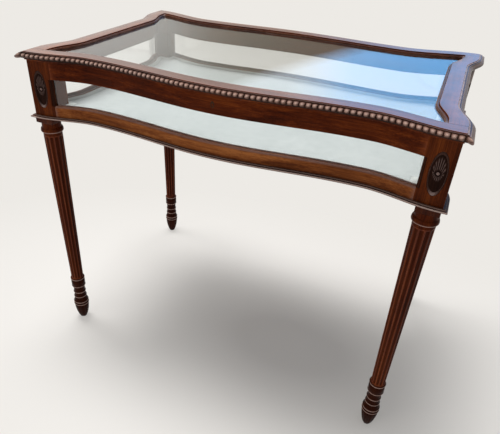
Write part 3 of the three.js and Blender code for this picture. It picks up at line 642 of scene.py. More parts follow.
RAIL_TONES = (0.022, 0.003, 0.0008), (0.062, 0.0095, 0.0014), (0.13, 0.027, 0.004)
# Lower rails: the same wood painted lighter, as the floor's bounce light
FLOOR_LIT_RAIL_TONES = (0.080, 0.019, 0.0050), (0.180, 0.052, 0.0130), (0.29, 0.10, 0.028)
POST_TONES = (0.024, 0.0040, 0.0010), (0.068, 0.0125, 0.0022), (0.135, 0.031, 0.005)
# Lid tops: lighter and bluer, painted as the sky's reflection on the flat top
SKY_LIT_TOP_TONES = (0.046, 0.013, 0.0085), (0.108, 0.033, 0.0190), (0.19, 0.067, 0.036)
TRIM_TONES = (0.020, 0.005, 0.0025), (0.050, 0.014, 0.0060), (0.11, 0.038, 0.016)
LEG_TONES = (0.034, 0.0046, 0.0010), (0.092, 0.0142, 0.0026), (0.165, 0.034, 0.005)
CARVED_TONES = (0.014, 0.004, 0.0020), (0.034, 0.010, 0.0050), (0.07, 0.024, 0.013)
BEAD_TONES = (0.024, 0.009, 0.0055), (0.066, 0.027, 0.0190), (0.13, 0.06, 0.042)
BOARD_TONES = (0.09, 0.045, 0.020), (0.16, 0.090, 0.0450), (0.24, 0.15, 0.08)
# Tones of painted highlight, also used for worn edges: grey for carving and trim, a pink sky reflection for
# the lower rails' shoulders, and paler ones for leg rings, beads and base reeds
HIGHLIGHT_GREY = (0.36, 0.26, 0.24)
SHOULDER_SKY_REFLECTION = (0.18, 0.105, 0.09)
RING_HIGHLIGHT_TONE = (0.42, 0.30, 0.26)
BEAD_HIGHLIGHT_TONE = (0.44, 0.30, 0.25)
BASE_HIGHLIGHT_TONE = (0.46, 0.34, 0.30)
BRASS_GRIME_AND_SHADE = (0.03, 0.018, 0.01)


def long_and_short(name, tones, **finish):
    """The same wood with its grain along the long sides and along the short ones."""
    return {
        is_long: mahogany(name.format(run), axis, tones, **finish)
        for is_long, run, axis in ((True, "long", "x"), (False, "short", "y"))
    }


RAIL_WOODS = long_and_short("mahogany_{}_rails", RAIL_TONES)
SKY_LIT_TOP_WOODS = long_and_short("mahogany_lid_{}", SKY_LIT_TOP_TONES, roughness=0.17, polish=0.8)
POST_WOOD = mahogany("mahogany_posts", "z", POST_TONES, edge=0.05)
# The post's window-edge moulding takes the dark carving tones as painted shade along that edge
SHADED_QUIRK_WOOD = mahogany("mahogany_post_mouldings", "z", CARVED_TONES, edge=0.2)
# Strengths of the painted highlight read from a piece's stored marks
HIGHLIGHT_MARKS = {"carved": True, "rubbed": 0.8}
STRONG_HIGHLIGHT_MARKS = {"carved": True, "rubbed": 0.9}
FLOOR_LIT_RAIL_WOODS = long_and_short("mahogany_low_{}_rails", FLOOR_LIT_RAIL_TONES, worn=SHOULDER_SKY_REFLECTION, **HIGHLIGHT_MARKS)
TRIM_WOODS = long_and_short("mahogany_trim_{}", TRIM_TONES, worn=HIGHLIGHT_GREY, polish=0.12, **HIGHLIGHT_MARKS)
BEADED_WOOD = mahogany("mahogany_beading", "x", BEAD_TONES, worn=BEAD_HIGHLIGHT_TONE, polish=0.12, edge=0.08, **HIGHLIGHT_MARKS)
BASE_WOODS = long_and_short("mahogany_base_{}", TRIM_TONES, worn=BASE_HIGHLIGHT_TONE, edge=0.1, **STRONG_HIGHLIGHT_MARKS)
LEG_WOOD = mahogany("mahogany_legs", "z", LEG_TONES, worn=RING_HIGHLIGHT_TONE, edge=0.06, **STRONG_HIGHLIGHT_MARKS)
CARVED_WOOD = mahogany("mahogany_carving", "z", CARVED_TONES, rubbed=0.85, carved=True, worn=HIGHLIGHT_GREY,
                       edge=0.3)
BOARD_WOOD = mahogany("plain_board", "x", BOARD_TONES, roughness=0.6, rubbed=0.1)
GLASS = clear_glass("clear_glass", (0.975, 0.985, 0.98))
CLOTH = lining_cloth("lining_cloth", (0.465, 0.495, 0.503), (0.345, 0.380, 0.387))
ROLL_CLOTH = lining_cloth("lining_roll_cloth", (0.53, 0.55, 0.54), (0.43, 0.455, 0.45))
BRASS = aged_brass("aged_brass", (0.52, 0.36, 0.13), (0.22, 0.13, 0.05))
DARK_BRASS = aged_brass("blackened_brass", (0.045, 0.024, 0.014), (0.016, 0.009, 0.006))


# Legs

# The foot and the head as (height, radius), and a ring as its middle, half height, low and high radius
FOOT_TURNING = (
    (0.0, 0.0068), (0.0016, 0.0088), (0.006, 0.0108), (0.0117, 0.0131), (0.019, 0.0152), (0.0263, 0.0168),
    (0.034, 0.0181), (0.042, 0.019), (0.0495, 0.0195), (0.0508, 0.019), (0.0532, 0.0021, 0.019, 0.0205),
    (0.0565, 0.0188), (0.0585, 0.0187), (0.0618, 0.0026, 0.0187, 0.0202), (0.0655, 0.0184),
    (0.0695, 0.0174), (0.0735, 0.0164), (0.0765, 0.0159), (0.0795, 0.0021, 0.0157, 0.0173),
    (0.0835, 0.0155), (0.088, 0.0153), (0.0925, 0.0154), (0.0957, 0.002, 0.0153, 0.0167), (0.099, 0.0151),
    (0.1045, 0.0151), (0.11, 0.0154), (0.115, 0.0158), (0.1158, 0.0172), (0.1178, 0.0017, 0.0174, 0.0186),
    (0.1202, 0.0176), (0.1212, 0.0181), (0.13, 0.0183), (0.1395, 0.0181), (0.1405, 0.0176),
    (0.1428, 0.0019, 0.0175, 0.0189), (0.1452, 0.0174), (SHAFT_BOTTOM, 0.0166),
)
# The head's heights start at the top of the shaft
HEAD_TURNING = (
    (0.0, 0.0214), (0.0035, 0.0213), (0.0062, 0.0214), (0.007, 0.0218), (0.0074, 0.0234), (0.008, 0.0244),
    (0.0092, 0.0251), (0.011, 0.0253), (0.013, 0.0251), (0.015, 0.0246), (0.0166, 0.0239), (0.0176, 0.0229),
    (0.0182, 0.0221), (0.0192, 0.0218), (0.024, 0.0216), (0.029, 0.0217), (0.0302, 0.0218),
)
# Where rings, the collar's lower edge and the fillets catch the light, as (height, half width)
RING_HIGHLIGHTS = (
    (0.0532, 0.0018), (0.0618, 0.0020), (0.0795, 0.0018), (0.0957, 0.0018), (0.1178, 0.0016),
    (0.1428, 0.0018), (SHAFT_TOP + 0.0082, 0.0014),
)


def ring_highlight(height):
    return max(max(0.0, 1 - abs(height - middle) / half) for middle, half in RING_HIGHLIGHTS) ** 0.5


def ring_bead(middle, half, low, high):
    """A half-round ring as (height, radius), from its lower foot to its upper one."""
    return [(height, radius) for radius, height in arc((low, middle), high - low, -90, 90, 6, half)]


def flute_shape(turn, height):
    """How deep the flutes are, as a share: round hollows with round ends, and plain bands between."""
    off = (turn + FLUTE_PITCH / 2) % FLUTE_PITCH - FLUTE_PITCH / 2
    across = off / (FLUTE_PITCH * FLUTE_SHARE)
    beyond = max(FLUTE_LOW - height, height - FLUTE_HIGH, 0.0) / FLUTE_HALF
    return math.sqrt(max(0.0, 1 - across ** 2 - beyond ** 2))


def reed_shape(turn, height):
    """The lobes carved round the bulb of the foot, fading at its tip and under its first ring."""
    fade = ease(height / LOBE_TIP) * ease((BULB_TOP - height) / LOBE_END)
    return fade * (1 - abs(math.cos(turn * FLUTES / 2)) ** 0.6)


def leg_mesh():
    ends = [FLUTE_HALF * share for share in (0.0, 0.35, 0.6, 0.78, 0.9, 0.97, 1.0)]
    shaft = [SHAFT_BOTTOM + 0.0004] + [FLUTE_LOW - FLUTE_HALF + end for end in ends]
    shaft += list(np.linspace(FLUTE_LOW, FLUTE_HIGH, 14))[1:-1]
    shaft += [FLUTE_HIGH + FLUTE_HALF - end for end in reversed(ends)] + [SHAFT_TOP - 0.0004]
    radii = np.interp(shaft, [SHAFT_BOTTOM, SHAFT_TOP], [SHAFT_BOTTOM_RADIUS, SHAFT_TOP_RADIUS])
    rows = []
    for spot in FOOT_TURNING:
        rows += ring_bead(*spot) if len(spot) == 4 else [spot]
    rows += list(zip(shaft, radii)) + [(SHAFT_TOP + height, radius) for height, radius in HEAD_TURNING]
    squares = [(SQUARE_BOTTOM, SQUARE_HALF_WIDTH - 0.0004), (SQUARE_BOTTOM + 0.0004, SQUARE_HALF_WIDTH)]
    squares.append((CASE_BOTTOM, SQUARE_HALF_WIDTH))
    turns = turns_of(FLUTES * FLUTE_SEGMENTS)
    points, hollow, rubbed = [], [], []
    for height, radius in rows:
        in_shaft = SHAFT_BOTTOM < height < SHAFT_TOP
        in_bulb = height < BULB_TOP
        turned = 0.0 if in_shaft else 1.0 if height < SHAFT_BOTTOM else 0.5
        for turn in turns:
            flute = flute_shape(turn, height) if in_shaft else 0.0
            reed = reed_shape(turn, height) if in_bulb else 0.0
            reach = radius - FLUTE_DEPTH * flute - REED_DEPTH * reed
            points.append((reach * math.cos(turn), reach * math.sin(turn), height))
            # Painted shade in the flutes, between the reeds and on the turned parts between the rings
            hollow.append(max(0.8 * flute, 0.9 * reed, turned * (1 - ring_highlight(height))))
            # Painted highlight on the bands between flutes, on the lobes and on the rings
            band = 0.04 if in_shaft and flute < 0.05 else 0.0
            lobe = 0.12 * (1 - min(1.0, 3 * reed)) if in_bulb else 0.0
            rubbed.append(max(band, lobe, ring_highlight(height)))
    for height, half_width in squares:
        for turn in turns:
            reach = half_width / max(abs(math.cos(turn)), abs(math.sin(turn)))
            points.append((reach * math.cos(turn), reach * math.sin(turn), height))
            # Painted shadow under the base moulding on the square block
            hollow.append(0.75)
            rubbed.append(0.0)
    return points, loft_faces(len(rows) + len(squares), len(turns)), hollow, rubbed


LEG_POINTS, LEG_FACES, LEG_SHADE_AND_GRIME, LEG_WEAR_AND_HIGHLIGHT = leg_mesh()
CORNERS = {"front_left": (-1, -1), "front_right": (1, -1), "rear_left": (-1, 1), "rear_right": (1, 1)}


def make_leg(corner, along_x, along_y):
    points = [(x + along_x * LEG_X, y + along_y * LEG_Y, z) for x, y, z in LEG_POINTS]
    leg = make(f"fluted_leg_{corner}", f"leg_{corner}", points, LEG_FACES, "case", LEG_WOOD,
               sharp_angle=50)
    store(leg, hollow=LEG_SHADE_AND_GRIME, rubbed=LEG_WEAR_AND_HIGHLIGHT)


# Corner posts and their carved ovals

def oval_seat(along_x):
    """Where an oval lies on its post: a matrix with x across it, y into the wood and z up."""
    near_window = front_line(POST_INNER_X) - SETBACK_LONG
    near_corner = front_line(CASE_FACE_X) - SETBACK_LONG
    slope = (near_corner - near_window) / POST_WIDTH
    x, away = POST_INNER_X + OVAL_FROM_WINDOW, near_window + slope * OVAL_FROM_WINDOW
    turn = Matrix.Rotation(-along_x * math.atan(slope), 4, "Z")
    return Matrix.Translation((along_x * x, -away, OVAL_MIDDLE)) @ turn


def oval_ring(seat, depth, gap, count):
    """A ring of points round an oval, at one depth in its post."""
    wide, high = OVAL_HALF_WIDTH + gap, OVAL_HALF_HEIGHT + gap
    spots = [(wide * math.cos(turn), depth, high * math.sin(turn)) for turn in turns_of(count)]
    return [seat @ Vector(spot) for spot in spots]


def oval_cutter(seat, count=96):
    points = oval_ring(seat, -CUTTER_OUT, FIT_GAP, count) + oval_ring(seat, OVAL_SINK, FIT_GAP, count)
    cutter = raw_piece("oval_cutter", points, loft_faces(2, count))
    finish_mesh(cutter.data)
    return cutter


# The moulding along a post's window edge, as (in from the edge, below the face)
QUIRK_END = POST_ROUND + QUIRK_WIDTH
QUIRKED_ROUND = arc((POST_ROUND, POST_ROUND * 1.12), POST_ROUND, 180, 270, 6) + [
    (POST_ROUND + 0.0001, QUIRK_DEPTH), (QUIRK_END, QUIRK_DEPTH), (QUIRK_END + 0.0002, 0.0),
]


def post_plan(along_x, along_y, moulded):
    """Outline of a post, where moulded is 1 along the windows and 0 where the rails butt against it."""
    long_side = SIDES["front"] if along_y < 0 else SIDES["rear"]
    near_window = long_side.line(POST_INNER_X) - SETBACK_LONG
    slope = (CASE_FACE_Y - near_window) / POST_WIDTH
    moulding = [(across, deep * moulded) for across, deep in QUIRKED_ROUND]
    plan = [(POST_INNER_X, POST_INNER_Y)]
    plan += [(POST_INNER_X + across, near_window + slope * across - deep) for across, deep in moulding]
    outer = side_line(CASE_FACE_Y) - SETBACK_SHORT
    plan += [(outer - POST_ARRIS, CASE_FACE_Y), (outer - POST_ARRIS / 4, CASE_FACE_Y - POST_ARRIS / 4)]
    for away in steps_between(CASE_FACE_Y - POST_ARRIS, POST_INNER_Y + POST_ROUND * 2, 0.004):
        plan.append((side_line(away) - SETBACK_SHORT, away))
    plan += [(side_line(POST_INNER_Y + across) - SETBACK_SHORT - deep, POST_INNER_Y + across)
             for across, deep in reversed(moulding)]
    return [(x * along_x, y * along_y) for x, y in plan]


def make_post(corner, along_x, along_y):
    plain, moulded = (post_plan(along_x, along_y, share) for share in (0.0, 1.0))
    rows = [(CASE_BOTTOM, plain), (WINDOW_BOTTOM - POST_STOP, plain), (WINDOW_BOTTOM, moulded)]
    rows += [(WINDOW_TOP - POST_STOP, moulded), (WINDOW_TOP, plain), (CASE_TOP, plain)]
    points = [(x, y, z) for z, plan in rows for x, y in plan]
    corners = len(plain)
    post = make(f"post_{corner}", f"corner_post_{corner}", points, loft_faces(len(rows), corners), "case",
                POST_WOOD, sharp_angle=30)
    rounds = range(1, len(QUIRKED_ROUND))
    reface(post, SHADED_QUIRK_WOOD,
           lambda face: face.index - 2 * corners in rounds or 3 * corners - face.index in rounds)
    if along_y < 0:
        carve(post, oval_cutter(oval_seat(along_x)))
        flatten(post)


def oval_relief(share, turn):
    """Height, shade and highlight masks of the carving at a share of the way from the boss to the rim:
    painted shade with wax in its hollows, painted highlight on the boss, petal crests and the lower rim's
    glint.
    """
    upward = ease(math.sin(turn) + 0.55)
    petal_end = 0.46 + 0.34 * upward
    if share < BOSS_END:
        return 0.30 + 0.75 * math.sqrt(max(0.0, 1 - (share / BOSS_END) ** 2)), 0.0, 0.55
    if share < GROOVE_END:
        reach = (share - BOSS_END) / (GROOVE_END - BOSS_END)
        return 0.30 - 0.28 * math.sin(math.pi * reach), 1.0, 0.0
    if share < petal_end:
        reach = (share - GROOVE_END) / (petal_end - GROOVE_END)
        lobe = abs(math.cos(turn * OVAL_PETALS / 2)) ** 0.7
        swell = math.sin(math.pi * min(1.0, reach * 1.01)) ** 0.55
        crest = lobe * min(1.0, swell * 1.3)
        return 0.08 + 0.55 * swell * lobe, 1 - 0.62 * crest, 0.4 * crest ** 4
    if share < RIM_START:
        return 0.08 + 0.16 * (share - petal_end) / (RIM_START + 0.001 - petal_end), 0.85, 0.0
    rim = (2 * share - 1 - RIM_START) / (1 - RIM_START)
    glint = 0.08 + 0.9 * max(0.0, -math.sin(turn)) ** 12
    return 0.25 + 0.80 * math.sqrt(max(0.0, 1 - rim ** 2)), 0.35, glint


def oval_spot(share, turn):
    """Across and up from the middle: round near the boss, oval towards the rim."""
    rounding = 1 - ease((share - GROOVE_END) / 0.45)
    across = between(OVAL_HALF_WIDTH, OVAL_ROUND_REACH, rounding)
    upright = between(OVAL_HALF_HEIGHT, OVAL_ROUND_REACH, rounding)
    return across * share * math.cos(turn), upright * share * math.sin(turn) + OVAL_BOSS_RISE * (1 - share)


def make_oval(corner, along_x):
    seat = oval_seat(along_x)
    floor = OVAL_SINK - FIT_GAP
    full = floor + OVAL_PROUD
    turns = turns_of(OVAL_PETALS * PETAL_SEGMENTS)
    count = len(turns)
    rings = (np.linspace(0.02, GROOVE_END, 13), np.linspace(0.22, 0.84, 26), np.linspace(RIM_START, 1, 13))
    shares = np.concatenate(rings)
    points, hollow, rubbed = [seat @ Vector((0, floor - full * 0.94, OVAL_BOSS_RISE))], [0.0], [0.5]
    for share in shares:
        for turn in turns:
            # Painted shade in the carving's hollows and painted highlight on the boss, the petals' crests and
            # the lower rim
            height, sunk, worn = oval_relief(share, turn)
            across, upright = oval_spot(share, turn)
            points.append(seat @ Vector((across, floor - full * height * 0.9, upright)))
            hollow.append(sunk)
            rubbed.append(worn)
    points += oval_ring(seat, floor, 0.0, count)
    hollow += [1.0] * count
    rubbed += [0.0] * count
    faces = [tuple(1 + spot for spot in face) for face in loft_faces(len(shares) + 1, count)]
    # The boss closes as a fan instead of the first cap
    faces[-2:-1] = [(0, 1 + index, 1 + (index + 1) % count) for index in range(count)]
    oval = make(f"oval_carving_{corner}", f"carved_oval_{corner}", points, faces, "case", CARVED_WOOD,
                sharp_angle=70)
    store(oval, hollow=hollow, rubbed=rubbed)


# Case rails, panes, beads and base moulding

PANE_GROOVE = (PANE_SETBACK - FIT_GAP, PANE_SETBACK + PANE_THICKNESS + FIT_GAP)

UPPER_RAIL = softened([
    (0, WINDOW_TOP), (-PANE_GROOVE[0], WINDOW_TOP),
    (-PANE_GROOVE[0], WINDOW_TOP + PANE_TOP_GROOVE), (-PANE_GROOVE[1], WINDOW_TOP + PANE_TOP_GROOVE),
    (-PANE_GROOVE[1], WINDOW_TOP), (-RAIL_THICKNESS, WINDOW_TOP),
    (-RAIL_THICKNESS, CASE_TOP), (0, CASE_TOP),
], 0.0008)

LOWER_RAIL = softened([
    (0, CASE_BOTTOM), (-BOARD_LIP, CASE_BOTTOM), (-BOARD_LIP, BOARD_TOP), (-RAIL_THICKNESS, BOARD_TOP),
    (-RAIL_THICKNESS, REBATE_FLOOR), (-PANE_GROOVE[0], REBATE_FLOOR), (-PANE_GROOVE[0], WINDOW_BOTTOM),
], 0.0004) + arc((-SHOULDER_ROUND, WINDOW_BOTTOM - SHOULDER_ROUND), SHOULDER_ROUND, 90, 0, 8)

# Painted sky reflection on the lower rail's rounded shoulder, over the arc's points
SHOULDER_REFLECTION = [0.0] * (len(LOWER_RAIL) - 9) + [0.5, 0.8, 1.0, 1.0, 0.95, 0.8, 0.5, 0.2, 0.0]

PANE = softened([
    (-PANE_SETBACK, REBATE_FLOOR + FIT_GAP), (-PANE_SETBACK - PANE_THICKNESS, REBATE_FLOOR + FIT_GAP),
    (-PANE_SETBACK - PANE_THICKNESS, WINDOW_TOP + PANE_TOP_GROOVE - FIT_GAP),
    (-PANE_SETBACK, WINDOW_TOP + PANE_TOP_GROOVE - FIT_GAP),
], 0.0003, 1)

BEAD_FOOT = (-PANE_GROOVE[1], REBATE_FLOOR)
CASE_BEAD = [BEAD_FOOT, (BEAD_FOOT[0] - CASE_BEAD_WIDTH, REBATE_FLOOR)]
CASE_BEAD += arc(BEAD_FOOT, -CASE_BEAD_WIDTH, 20, 90, 7, CASE_BEAD_HEIGHT)

REED_ANGLES = np.radians(np.linspace(-82, 82, 11))


def reed(bottom, height, out):
    """One half-round reed, from its lower edge to its upper one."""
    half = height / 2
    return [(out - half + half * math.cos(a), bottom + half + half * math.sin(a)) for a in REED_ANGLES]


BASE_MOULDING = (
    [(FIT_GAP, CASE_BOTTOM)]
    + reed(CASE_BOTTOM, BASE_REED_HEIGHT, BASE_REED_OUT)
    + reed(CASE_BOTTOM + BASE_REED_HEIGHT, UPPER_REED_HEIGHT, UPPER_REED_OUT)
    + [(FIT_GAP, CASE_BOTTOM + BASE_REED_HEIGHT + UPPER_REED_HEIGHT)]
)

# Painted highlight on the reeds, strongest a little above their noses and weaker on the upper reed
REED_HIGHLIGHT = [max(0.0, math.cos(a - 0.5)) ** 3 for a in REED_ANGLES]
BASE_HIGHLIGHTS = [0.0] + REED_HIGHLIGHT + [share * 0.35 for share in REED_HIGHLIGHT] + [0.0]


def make_case_side(side):
    reach = POST_INNER_X if side.is_long else POST_INNER_Y
    free = reach - FIT_GAP
    for label, node, profile, half, material, slot, rub in (
        ("case_upper", "upper_rail", UPPER_RAIL, reach, RAIL_WOODS[side.is_long], "case_wood", ()),
        ("case_lower", "lower_rail", LOWER_RAIL, reach, FLOOR_LIT_RAIL_WOODS[side.is_long], "case_wood", SHOULDER_REFLECTION),
        ("pane", "window", PANE, free, GLASS, "glass", ()),
        ("pane_bead", "window_bead", CASE_BEAD, free, TRIM_WOODS[side.is_long], "trim_wood", ()),
    ):
        strip(label, node, side, profile, -half, half, "case", material, shift=-side.setback, rub=rub)
    corner = (CASE_FACE_X if side.is_long else CASE_FACE_Y) - FIT_GAP
    on_case = side._replace(line=lambda along: side.line(along) - side.setback)
    strip("base_reeds", "base_moulding", on_case, BASE_MOULDING, -corner, corner, "case",
          BASE_WOODS[side.is_long], mitre=True, rub=BASE_HIGHLIGHTS)


# Lining: a thin pad with a rolled edge

def notched_ring(inset):
    """A closed line that keeps inside the case and steps round the posts."""
    x = POST_INNER_X - PAD_GAP - inset
    y = POST_INNER_Y - PAD_GAP - inset
    edge = RAIL_THICKNESS + PAD_GAP + inset
    front, rear, left, right = (
        run_along(side, -reach, reach, side.setback + edge, LINING_GRID)
        for side, reach in zip(SIDES.values(), (x, x, y, y))
    )
    return front + [(x, -y)] + right + [(x, y)] + rear[::-1] + [(-x, y)] + left[::-1] + [(-x, -y)]


def lining_height(inset):
    """Height of the cloth by its distance in from the edge: a full roll, a sewn seam, a soft rise."""
    seam = PAD_HIGH.z - ROLL_HEIGHT - SEAM_DEPTH
    if inset <= ROLL_WIDTH:
        share = 0.10 + 0.90 * inset / ROLL_WIDTH
        return seam + (ROLL_HEIGHT + SEAM_DEPTH) * math.sin(math.pi * share) ** 0.75
    return seam + 1.9 * SEAM_DEPTH * ease((inset - ROLL_WIDTH) / RISE_WIDTH)


def seam_shade(inset):
    """How dark the cloth is made, as dust and painted shade: most in the seam and a little beside it."""
    off = abs(inset - ROLL_WIDTH)
    return 1.0 if off < 0.0006 else 0.35 if off < 0.0020 else 0.0


def drift(x, y):
    """The padding's slow unevenness."""
    return noise.noise(Vector((x * DRIFT_SCALE, y * DRIFT_SCALE, 0.3))) * DRIFT_HEIGHT


def inside_ring(point, ring):
    """Whether a point lies inside a closed line, by counting the crossings to its right."""
    x, y = point
    crossed = False
    for (x0, y0), (x1, y1) in zip(ring, ring[1:] + ring[:1]):
        if (y0 > y) != (y1 > y) and x < x0 + (y - y0) / (y1 - y0) * (x1 - x0):
            crossed = not crossed
    return crossed


def make_lining():
    spots, heights, hollow, edges = [], [], [], []
    for inset in LINING_RINGS:
        ring = notched_ring(inset)
        first = len(spots)
        spots += ring
        heights += [lining_height(inset) + (drift(*spot) if inset > 0.02 else 0.0) for spot in ring]
        hollow += [seam_shade(inset)] * len(ring)
        edges += [(first + index, first + (index + 1) % len(ring)) for index in range(len(ring))]
    last_ring = notched_ring(LINING_RINGS[-1] + LINING_GRID * 0.6)
    for x in np.arange(-0.44, 0.44, LINING_GRID):
        for y in np.arange(-0.27, 0.27, LINING_GRID):
            if inside_ring((x, y), last_ring):
                spots.append((x, y))
                heights.append(lining_height(1.0) + drift(x, y))
                hollow.append(0.0)
    outline = list(range(len(notched_ring(0.0))))
    flat = delaunay_2d_cdt([Vector(spot) for spot in spots], edges, [outline], 1, 1e-7)
    source = [sources[0] for sources in flat[3]]
    faces = [tuple(face) for face in flat[2]]
    points = [(*flat[0][index], heights[spot]) for index, spot in enumerate(source)]
    rim = [source.index(index) for index in outline]
    base = len(points)
    points += [(points[index][0], points[index][1], PAD_LOW.z) for index in rim]
    depths = [hollow[spot] for spot in source] + [0.0] * len(rim)
    for index in range(len(rim)):
        after = (index + 1) % len(rim)
        faces.append((rim[index], rim[after], base + after, base + index))
    faces.append(tuple(range(base, base + len(rim))))
    lining = make("padded_lining", "lining_pad", points, faces, "case", CLOTH,
                  sharp_angle=80)
    store(lining, hollow=depths)
    in_roll = sum(len(notched_ring(inset)) for inset in LINING_RINGS if inset < ROLL_WIDTH)
    roll = {index for index, spot in enumerate(source) if spot < in_roll}
    reface(lining, ROLL_CLOTH, lambda face: len(face.vertices) < 5 and all(
        index in roll or index >= base for index in face.vertices
    ))


# Lid

def darken_edges(rail, side):
    """Gives a lid rail's upright edges the case rails' darker tones, so that only its flat top carries the
    lighter tones painted as sky reflection.
    """
    reface(rail, RAIL_WOODS[side.is_long], lambda face: abs(face.normal.z) < 0.3)


def make_long_lid_rail(side):
    corner_x, corner_away = OPENING[side.name]
    outer = [(x, side.line(x)) for x in steps_between(-HALF_WIDTH, HALF_WIDTH)]
    flank = [(side_line(away), away) for away in steps_between(HALF_DEPTH, corner_away, 0.004)[1:]]
    inner = [(x, side.line(x) - LID_RAIL_WIDTH) for x in steps_between(corner_x, -corner_x)]
    other_flank = [(-x, away) for x, away in reversed(flank)]
    plan = [side.place(along, away) for along, away in outer + flank + inner + other_flank]
    rail = slab(f"lid_frame_{side.name}", f"lid_rail_{side.name}", plan, LID_BOTTOM, TABLE_TOP,
                SKY_LIT_TOP_WOODS[side.is_long], edge=0.0007)
    darken_edges(rail, side)


def make_short_lid_rail(side):
    profile = softened([
        (0, LID_BOTTOM), (-LID_SIDE_RAIL_WIDTH, LID_BOTTOM),
        (-LID_SIDE_RAIL_WIDTH, TABLE_TOP), (0, TABLE_TOP),
    ], 0.0007)
    rail = strip("lid_frame", "lid_rail", side, profile, -OPENING["front"][1], OPENING["rear"][1], "lid",
                 SKY_LIT_TOP_WOODS[side.is_long])
    darken_edges(rail, side)


FILLET_TOP = GLASS_HIGH.z + FILLET_HEIGHT
FILLET = softened([
    (-FIT_GAP, GLASS_HIGH.z), (-FILLET_WIDTH, GLASS_HIGH.z), (-FILLET_WIDTH, FILLET_TOP - 0.0030),
    (-FILLET_WIDTH + 0.0020, FILLET_TOP), (-FIT_GAP, FILLET_TOP),
], 0.0009)
UNDER_BEAD = softened([
    (-FIT_GAP, GLASS_LOW.z), (-UNDER_BEAD_WIDTH, GLASS_LOW.z),
    (-UNDER_BEAD_WIDTH, GLASS_LOW.z - UNDER_BEAD_HEIGHT / 2),
    (-UNDER_BEAD_WIDTH / 2, GLASS_LOW.z - UNDER_BEAD_HEIGHT), (-FIT_GAP, GLASS_LOW.z - UNDER_BEAD_HEIGHT),
], 0.0009)


def make_opening_strip(label, node, side, profile, width):
    if side.is_long:
        end = side_line(OPENING[side.name][1] - width) - LID_SIDE_RAIL_WIDTH - FIT_GAP
        start = -end
    else:
        inset = LID_RAIL_WIDTH + width + FIT_GAP
        front, end = (SIDES[name].line(x - width) - inset for name, (x, _) in OPENING.items())
        start = -front
    strip(label, node, side, profile, start, end, "lid", TRIM_WOODS[side.is_long],
          shift=-side.rail_width)


def make_lid_glass():
    front, rear = ([reach - GLASS_GAP for reach in OPENING[name]] for name in ("front", "rear"))
    plan = []
    for name, start, end, trim in (
        ("front", -front[0], front[0], 0), ("right", -front[1], rear[1], 1),
        ("rear", rear[0], -rear[0], 0), ("left", rear[1], -front[1], 1),
    ):
        run = run_along(SIDES[name], start, end, SIDES[name].rail_width + GLASS_GAP)
        plan += run[trim:len(run) - trim]
    slab("top_glass", "lid_glass", plan, GLASS_LOW.z, GLASS_HIGH.z, GLASS, edge=0.0005)


# The moulded edge: a round nose below, a quirk, a cove and a thin fillet under the flat top
PLAIN_EDGE = (
    [(FIT_GAP, EDGE_BOTTOM), (0.0085, EDGE_BOTTOM)]
    + arc((0.0092, EDGE_BOTTOM + 0.0037), 0.0037, -78, 70, 10)
    + [(0.0100, EDGE_BOTTOM + 0.0075)]
    + arc((0.0104, EDGE_BOTTOM + 0.0120), 0.0042, 255, 190, 6)
    + [(0.0044, EDGE_BOTTOM + 0.0113), (0.0034, EDGE_BOTTOM + 0.0114), (0.0032, EDGE_TOP - 0.0003)]
    + [(0.0028, EDGE_TOP), (FIT_GAP, EDGE_TOP)]
)


def make_moulded_edge(side):
    reach = (HALF_WIDTH if side.is_long else HALF_DEPTH) - FIT_GAP
    strip("edge_moulding", "lid_moulding", side, PLAIN_EDGE, -reach, reach, "lid",
          TRIM_WOODS[side.is_long], mitre=True)


def beaded_profile(swell):
    """Section through the bead string: swell is 1 at the middle of a bead and near 0 between two."""
    out = between(STRING_OUT, BEAD_OUT, swell)
    half = between(STRING_HALF, BEAD_RADIUS, swell)
    foot, brow = BEAD_BACK + 0.0004, BEAD_MIDDLE + BEAD_RADIUS
    return (
        [(FIT_GAP, EDGE_BOTTOM), (foot, EDGE_BOTTOM), (foot, BEAD_MIDDLE - BEAD_RADIUS)]
        + arc((BEAD_BACK, BEAD_MIDDLE), out, -84, 84, 12, half)
        + [(BEAD_BACK - 0.0004, brow + 0.0002), (BEAD_BACK, brow + 0.0007),
           (BEAD_BACK + 0.0002, EDGE_TOP - 0.0004), (BEAD_BACK - 0.0003, EDGE_TOP), (FIT_GAP, EDGE_TOP)]
    )


def make_beaded_edge(side):
    reach = HALF_WIDTH - FIT_GAP
    count = int(reach * 2 / BEAD_PITCH)
    first = -count * BEAD_PITCH / 2
    rows = []
    for index in range(count * BEAD_ROWS + 1):
        phase = (index % BEAD_ROWS) / BEAD_ROWS * 2 - 1
        rows.append((first + BEAD_PITCH * index / BEAD_ROWS, math.sqrt(1 - phase ** 2), 0.0))
    # Half of one more bead runs on to each mitre
    for share in (0.15, 0.35, 0.6, 0.8, 1.0):
        swell = math.sqrt(1 - (1 - share) ** 2)
        rows.append((reach + (first + reach) * (1 - share), swell, share))
        rows.insert(0, (-rows[-1][0], swell, -share))
    points, hollow, rubbed = [], [], []
    for x, swell, end in rows:
        for index, (out, height) in enumerate(beaded_profile(swell)):
            along = x + end * out
            points.append((*side.place(along, side.line(along) + out), height))
            # Painted highlight on the beads' upper noses; painted shade between the beads, under them and in
            # the groove above them
            lit = max(0.0, math.sin(math.pi * (index - 7) / 8)) ** 1.6
            on_nose = index in BEAD_NOSE
            hollow.append((1 - swell) ** 1.5 if on_nose else 0.5 if index >= BEAD_NOSE.stop else 0.95)
            rubbed.append(swell ** 4 * lit if on_nose else 0.0)
    faces = loft_faces(len(rows), len(beaded_profile(0.0)))
    beading = make("bead_string", "lid_beading_front", points, faces, "lid", BEADED_WOOD,
                   sharp_angle=60)
    store(beading, hollow=hollow, rubbed=rubbed)


# Brass fittings keep their frame shapes, with eased edges

def refinish(node, material):
    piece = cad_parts[node]
    piece.data.materials.clear()
    piece.data.materials.append(material)
    return piece


